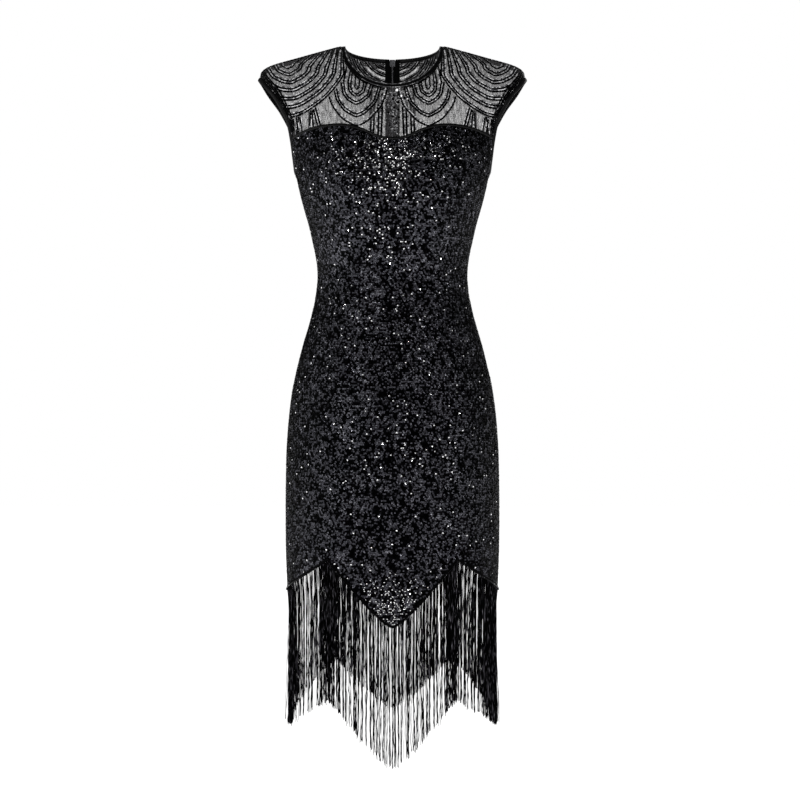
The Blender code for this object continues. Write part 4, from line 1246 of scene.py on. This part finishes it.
def strand_mesh(name, roots, outs, lengths, bunches, loose, steps):
    """Thin threads that hang straight with small bends, thicker and thinner along their length."""
    share = np.linspace(0, 1, steps)
    count = len(roots)
    tangent = np.cross(outs, np.array((0, 0, 1.0)))
    shifts = []
    for size in (STRAND_SWAY, STRAND_SWAY * OUTWARD_SWAY):
        shift = np.where(loose, random.normal(0, LOOSE_LEAN, count), 0)[:, None] * share
        for waves, part, own in BENDS:
            phase = random.uniform(0, TURN, (count, 1))
            amount = random.normal(0, size * part, (count, 1))
            if not own:
                phase, amount = phase[bunches], amount[bunches]
            bend = np.sin(waves * math.pi * share + phase) - np.sin(phase)
            shift = shift + amount * np.sqrt(share) * bend
        shifts.append(shift)
    shifts[1] = shifts[1] - STRAND_FALL * (1 - np.exp(-STRAND_FALL_RATE * share))
    centres = roots[:, None] + tangent[:, None] * shifts[0][..., None] + outs[:, None] * shifts[1][..., None]
    centres[..., 2] -= lengths[:, None] * share
    thickness = (random.uniform(*STRAND_THICKNESS, (count, steps))
                 * np.where(loose, LOOSE_THICKNESS, 1)[:, None])
    ring = round_offsets(tangent[:, None], outs[:, None], corner_turns(STRAND_SIDES))
    verts = centres[:, :, None] + ring * (STRAND_RADIUS * thickness)[:, :, None, None]
    faces = repeated(grid_faces(steps, STRAND_SIDES, closed=True), count, steps * STRAND_SIDES)
    made = mesh_object(name, verts, faces, THREAD, "fringe")
    shades = random.beta(*STRAND_SHADES, (count, steps)) + np.where(loose, LOOSE_LIGHTNESS, 0)[:, None]
    shade_attribute(made, shades.ravel(), STRAND_SIDES)
    return made


def crowded_angles(count, jitter):
    """Angles round the hem, closer together in the crowds."""
    fine = np.linspace(-FRINGE_END, FRINGE_END, 4000)
    weight = np.ones_like(fine)
    for middle_angle, half_width, added in CROWDS:
        weight += added * np.exp(-((fine - middle_angle) / half_width) ** 2)
    total = np.cumsum(weight)
    at = (np.arange(count) + 0.5 + random.uniform(-jitter, jitter, count)) / count
    return np.interp(at * (total[-1] - total[0]) + total[0], total, fine)


def strand_angles(sizes):
    """Where each strand hangs, the bunch that it belongs to and whether it hangs loose."""
    middles = crowded_angles(sizes["bunches"], BUNCH_JITTER)
    numbers = np.repeat(np.arange(sizes["bunches"]), sizes["strands"])
    angles = middles[numbers] + random.normal(0, BUNCH_SPREAD, len(numbers))
    numbers = np.concatenate((numbers, sizes["bunches"] + np.arange(sizes["loose"])))
    angles = np.concatenate((angles, crowded_angles(sizes["loose"], 0.5)))
    return np.clip(angles, -FRINGE_END, FRINGE_END), numbers, numbers >= sizes["bunches"]


headers, fringes, hem_beads = {}, {}, {}
for behind in (False, True):
    side = "back" if behind else "front"
    low, out, high = hem_line(np.linspace(-FRINGE_END, FRINGE_END, 500), behind)
    band = np.stack((low + out * HEADER_LIFT, (low + high) / 2 + out * HEADER_CROWN,
                     high + out * HEADER_LIFT))
    headers[side] = shell(f"fringe_header_{side}", band, np.stack((out, out, out)), HEADER_WALL, TAPE,
                          "fringe", outward=not behind)
    angles, bunches, loose = strand_angles(FRINGES[behind])
    roots, out, _ = hem_line(angles, behind, STRAND_ROOT_DROP)
    lengths = random.normal(FRINGE_LENGTH - STRAND_SHORTER, STRAND_LENGTH_SPREAD, len(angles))
    fringes[side] = strand_mesh(f"fringe_{side}_strands", roots + out * STRAND_ROOT_LIFT, out,
                                lengths.clip(*STRAND_LENGTHS), bunches, loose, FRINGES[behind]["steps"])
    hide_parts(f"fringe_{side}")
    low, out, _ = hem_line(np.linspace(-FRINGE_END, FRINGE_END, 1200), behind)
    hem_beads[side] = cord_mesh(f"hem_beads_{side}", [laid_cord(low + out * HEM_BEAD_LIFT, out)], CORD, 6,
                                HEM_BEAD_RADIUS, HEM_BEAD_RADIUS, "fringe")


# ---------------------------------------------------------------- zip
TAPE_PLACES = (0.0016, 0.0060, 0.0115)
TAPE_DEPTH = 0.0020
TAPE_WALL = 0.0007
TAPE_TOP = 1.6
ZIP_STEP = 0.004
CHAIN_HALF_WIDTH = 0.0019
CHAIN_WALL = 0.0014
TOOTH_PITCH = 0.00125
TOOTH_START = 0.0008
TOOTH_END = 0.0090
TOOTH_HALF_HEIGHT = 0.00048
TOOTH_RISE = 0.0006
TOOTH_LIFT = 0.0002
TOOTH_SIDES = 6
# Along a tooth, across the zip: place and size
TOOTH_SECTIONS = ((-0.0006, 0.7), (0.0004, 1.0), (0.0017, 1.0), (0.0021, 0.6))


def back_line(x, levels):
    """A line down the centre back at a distance from it."""
    places = np.linspace(0, 0.3, 61)
    points = surface(places[None, :], levels[:, None], True)
    u = np.array([np.interp(abs(x), row[:, 0], places) for row in points])
    made, normals = cloth(u, levels, True, 1 if x > 0 else -1)
    made[:, 0] = x
    normals[:, 0] = 0
    return made, unit(normals)


def zip_teeth(line, outs):
    """Bars that reach in from both sides in turn, with rounded backs."""
    lengths = lengths_along(line)
    at = np.arange(TOOTH_START, lengths[-1] - TOOTH_END, TOOTH_PITCH)
    places, facing = resampled(at, lengths, line), unit(resampled(at, lengths, outs))
    across = np.array((1.0, 0.0, 0.0))
    up = unit(np.cross(facing, across))
    side = np.where(np.arange(len(at)) % 2, 1.0, -1.0)[:, None, None]
    turn = corner_turns(TOOTH_SIDES)
    rise, back = (np.cos(turn) * TOOTH_HALF_HEIGHT)[:, None], (np.sin(turn) * TOOTH_RISE)[:, None]
    rings = [places[:, None] + across * side * reach + up[:, None] * rise * size
             + facing[:, None] * (back * size + TOOTH_LIFT) for reach, size in TOOTH_SECTIONS]
    faces = repeated(grid_faces(len(rings), TOOTH_SIDES, closed=True), len(at), len(rings) * TOOTH_SIDES)
    return mesh_object("zip_teeth", np.stack(rings, axis=1), faces, METAL, "zip_metal")


zip_levels = np.concatenate((np.arange(ZIP_BOTTOM - UNDERARM - ZIP_STEP, 0, ZIP_STEP),
                             np.linspace(0, 1, 60)))
for side, sign in SIDES:
    lines = [back_line(sign * x, zip_levels) for x in TAPE_PLACES]
    points, normals = (np.stack(part) for part in zip(*lines))
    points = np.concatenate((points, points[:, -1:] + (points[:, -1:] - points[:, -2:-1]) * TAPE_TOP), axis=1)
    normals = np.concatenate((normals, normals[:, -1:]), axis=1)
    shell(f"zip_tape_{side}_woven", points - normals * TAPE_DEPTH, normals, TAPE_WALL, TAPE,
                        "zip_tape", outward=sign > 0)
    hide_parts(f"zip_tape_{side}")
chain_line, chain_normals = back_line(0.0001, zip_levels[1:])
points = np.stack([chain_line + np.array((x, 0, 0)) for x in (CHAIN_HALF_WIDTH, -CHAIN_HALF_WIDTH)])
chain = shell("zip_chain_core", points, np.stack((chain_normals, chain_normals)), CHAIN_WALL, METAL,
              "zip_metal")
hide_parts("zip_chain")
teeth = zip_teeth(chain_line, chain_normals)
for name in ("zip_slider", "zip_pull"):
    for material_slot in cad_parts[name].material_slots:
        material_slot.material = METAL


# ---------------------------------------------------------------- stage, lights and camera
FLOOR_Z = -1.16
FLOOR_SIZE = 5.0
ROOM_STRENGTH = 0.08
LIT_PLACE = np.array((0, 0, -0.5))
# columns: name, place, width and height, power
LIGHTS = (
    ("left_wall", (-2.4, -0.5, -0.2), (2.6, 2.6), 20),
    ("right_wall", (2.4, -0.3, -0.2), (1.8, 2.4), 5),
    ("glint_high", (0.05, -2.6, 0.55), (0.20, 0.20), 7),
    ("glint_left", (-0.45, -2.6, 0.0), (0.16, 0.30), 4),
    ("glint_right", (0.55, -2.5, 0.2), (0.14, 0.14), 3),
    ("rear_wall", (0.6, 2.6, 0.4), (2.0, 1.8), 10),
)
WIDTH = 800
# Where the camera's level line of sight meets the frame, in pixels across and down
SIGHT = (392.5, 385)
LENS = 59.4


def linked(name, data, place=(0, 0, 0)):
    made = bpy.data.objects.new(name, data)
    made.location = place
    bpy.context.scene.collection.objects.link(made)
    return made


def stage_floor():
    mesh = bpy.data.meshes.new("floor")
    corners = ((-1, -1), (1, -1), (1, 1), (-1, 1))
    mesh.from_pydata([(x * FLOOR_SIZE, y * FLOOR_SIZE, FLOOR_Z) for x, y in corners], [], [(0, 1, 2, 3)])
    mesh.materials.append(new_material("pale_floor", Roughness=0.9, Base_Color=(0.92, 0.92, 0.92, 1),
                                       Emission_Color=(1, 1, 1, 1), Emission_Strength=1.0)[0])
    floor = linked("floor", mesh)


def area_light(name, place, size, power):
    light = bpy.data.lights.new(name, "AREA")
    light.shape = "RECTANGLE"
    light.size, light.size_y = size
    light.energy = power
    away = place - LIT_PLACE
    made = linked(name, light, place)
    made.rotation_euler = (math.pi / 2 - math.atan2(away[2], math.hypot(away[0], away[1])), 0,
                           math.atan2(away[0], -away[1]))


def studio():
    """A white surround for the camera and a dim one for the light that it gives."""
    world = bpy.data.worlds.new("studio")
    world.use_nodes = True
    tree = world.node_tree
    seen = settle(tree.nodes["Background"], {"Color": (1, 1, 1, 1), "Strength": 1.0})
    room = node(tree, "Background", Color=(1, 1, 1, 1), Strength=ROOM_STRENGTH)
    either = node(tree, "MixShader")
    wire(tree, (node(tree, "LightPath"), "Is Camera Ray", either, "Fac"), (room, "Background", either, 1),
         (seen, "Background", either, 2), (either, "Shader", tree.nodes["World Output"], "Surface"))
    return world


stage_floor()
bpy.context.scene.view_settings.view_transform = "Standard"
bpy.context.scene.world = studio()
for light in LIGHTS:
    area_light(*light)
camera_data = bpy.data.cameras.new("camera")
camera_data.sensor_width = 36
camera_data.lens = LENS
camera_data.shift_x = (WIDTH / 2 - SIGHT[0]) / WIDTH
camera_data.shift_y = (SIGHT[1] - WIDTH / 2) / WIDTH
camera = linked("camera", camera_data, VIEW_POINT)
camera.rotation_euler = (math.pi / 2, 0, 0)
bpy.context.scene.camera = camera
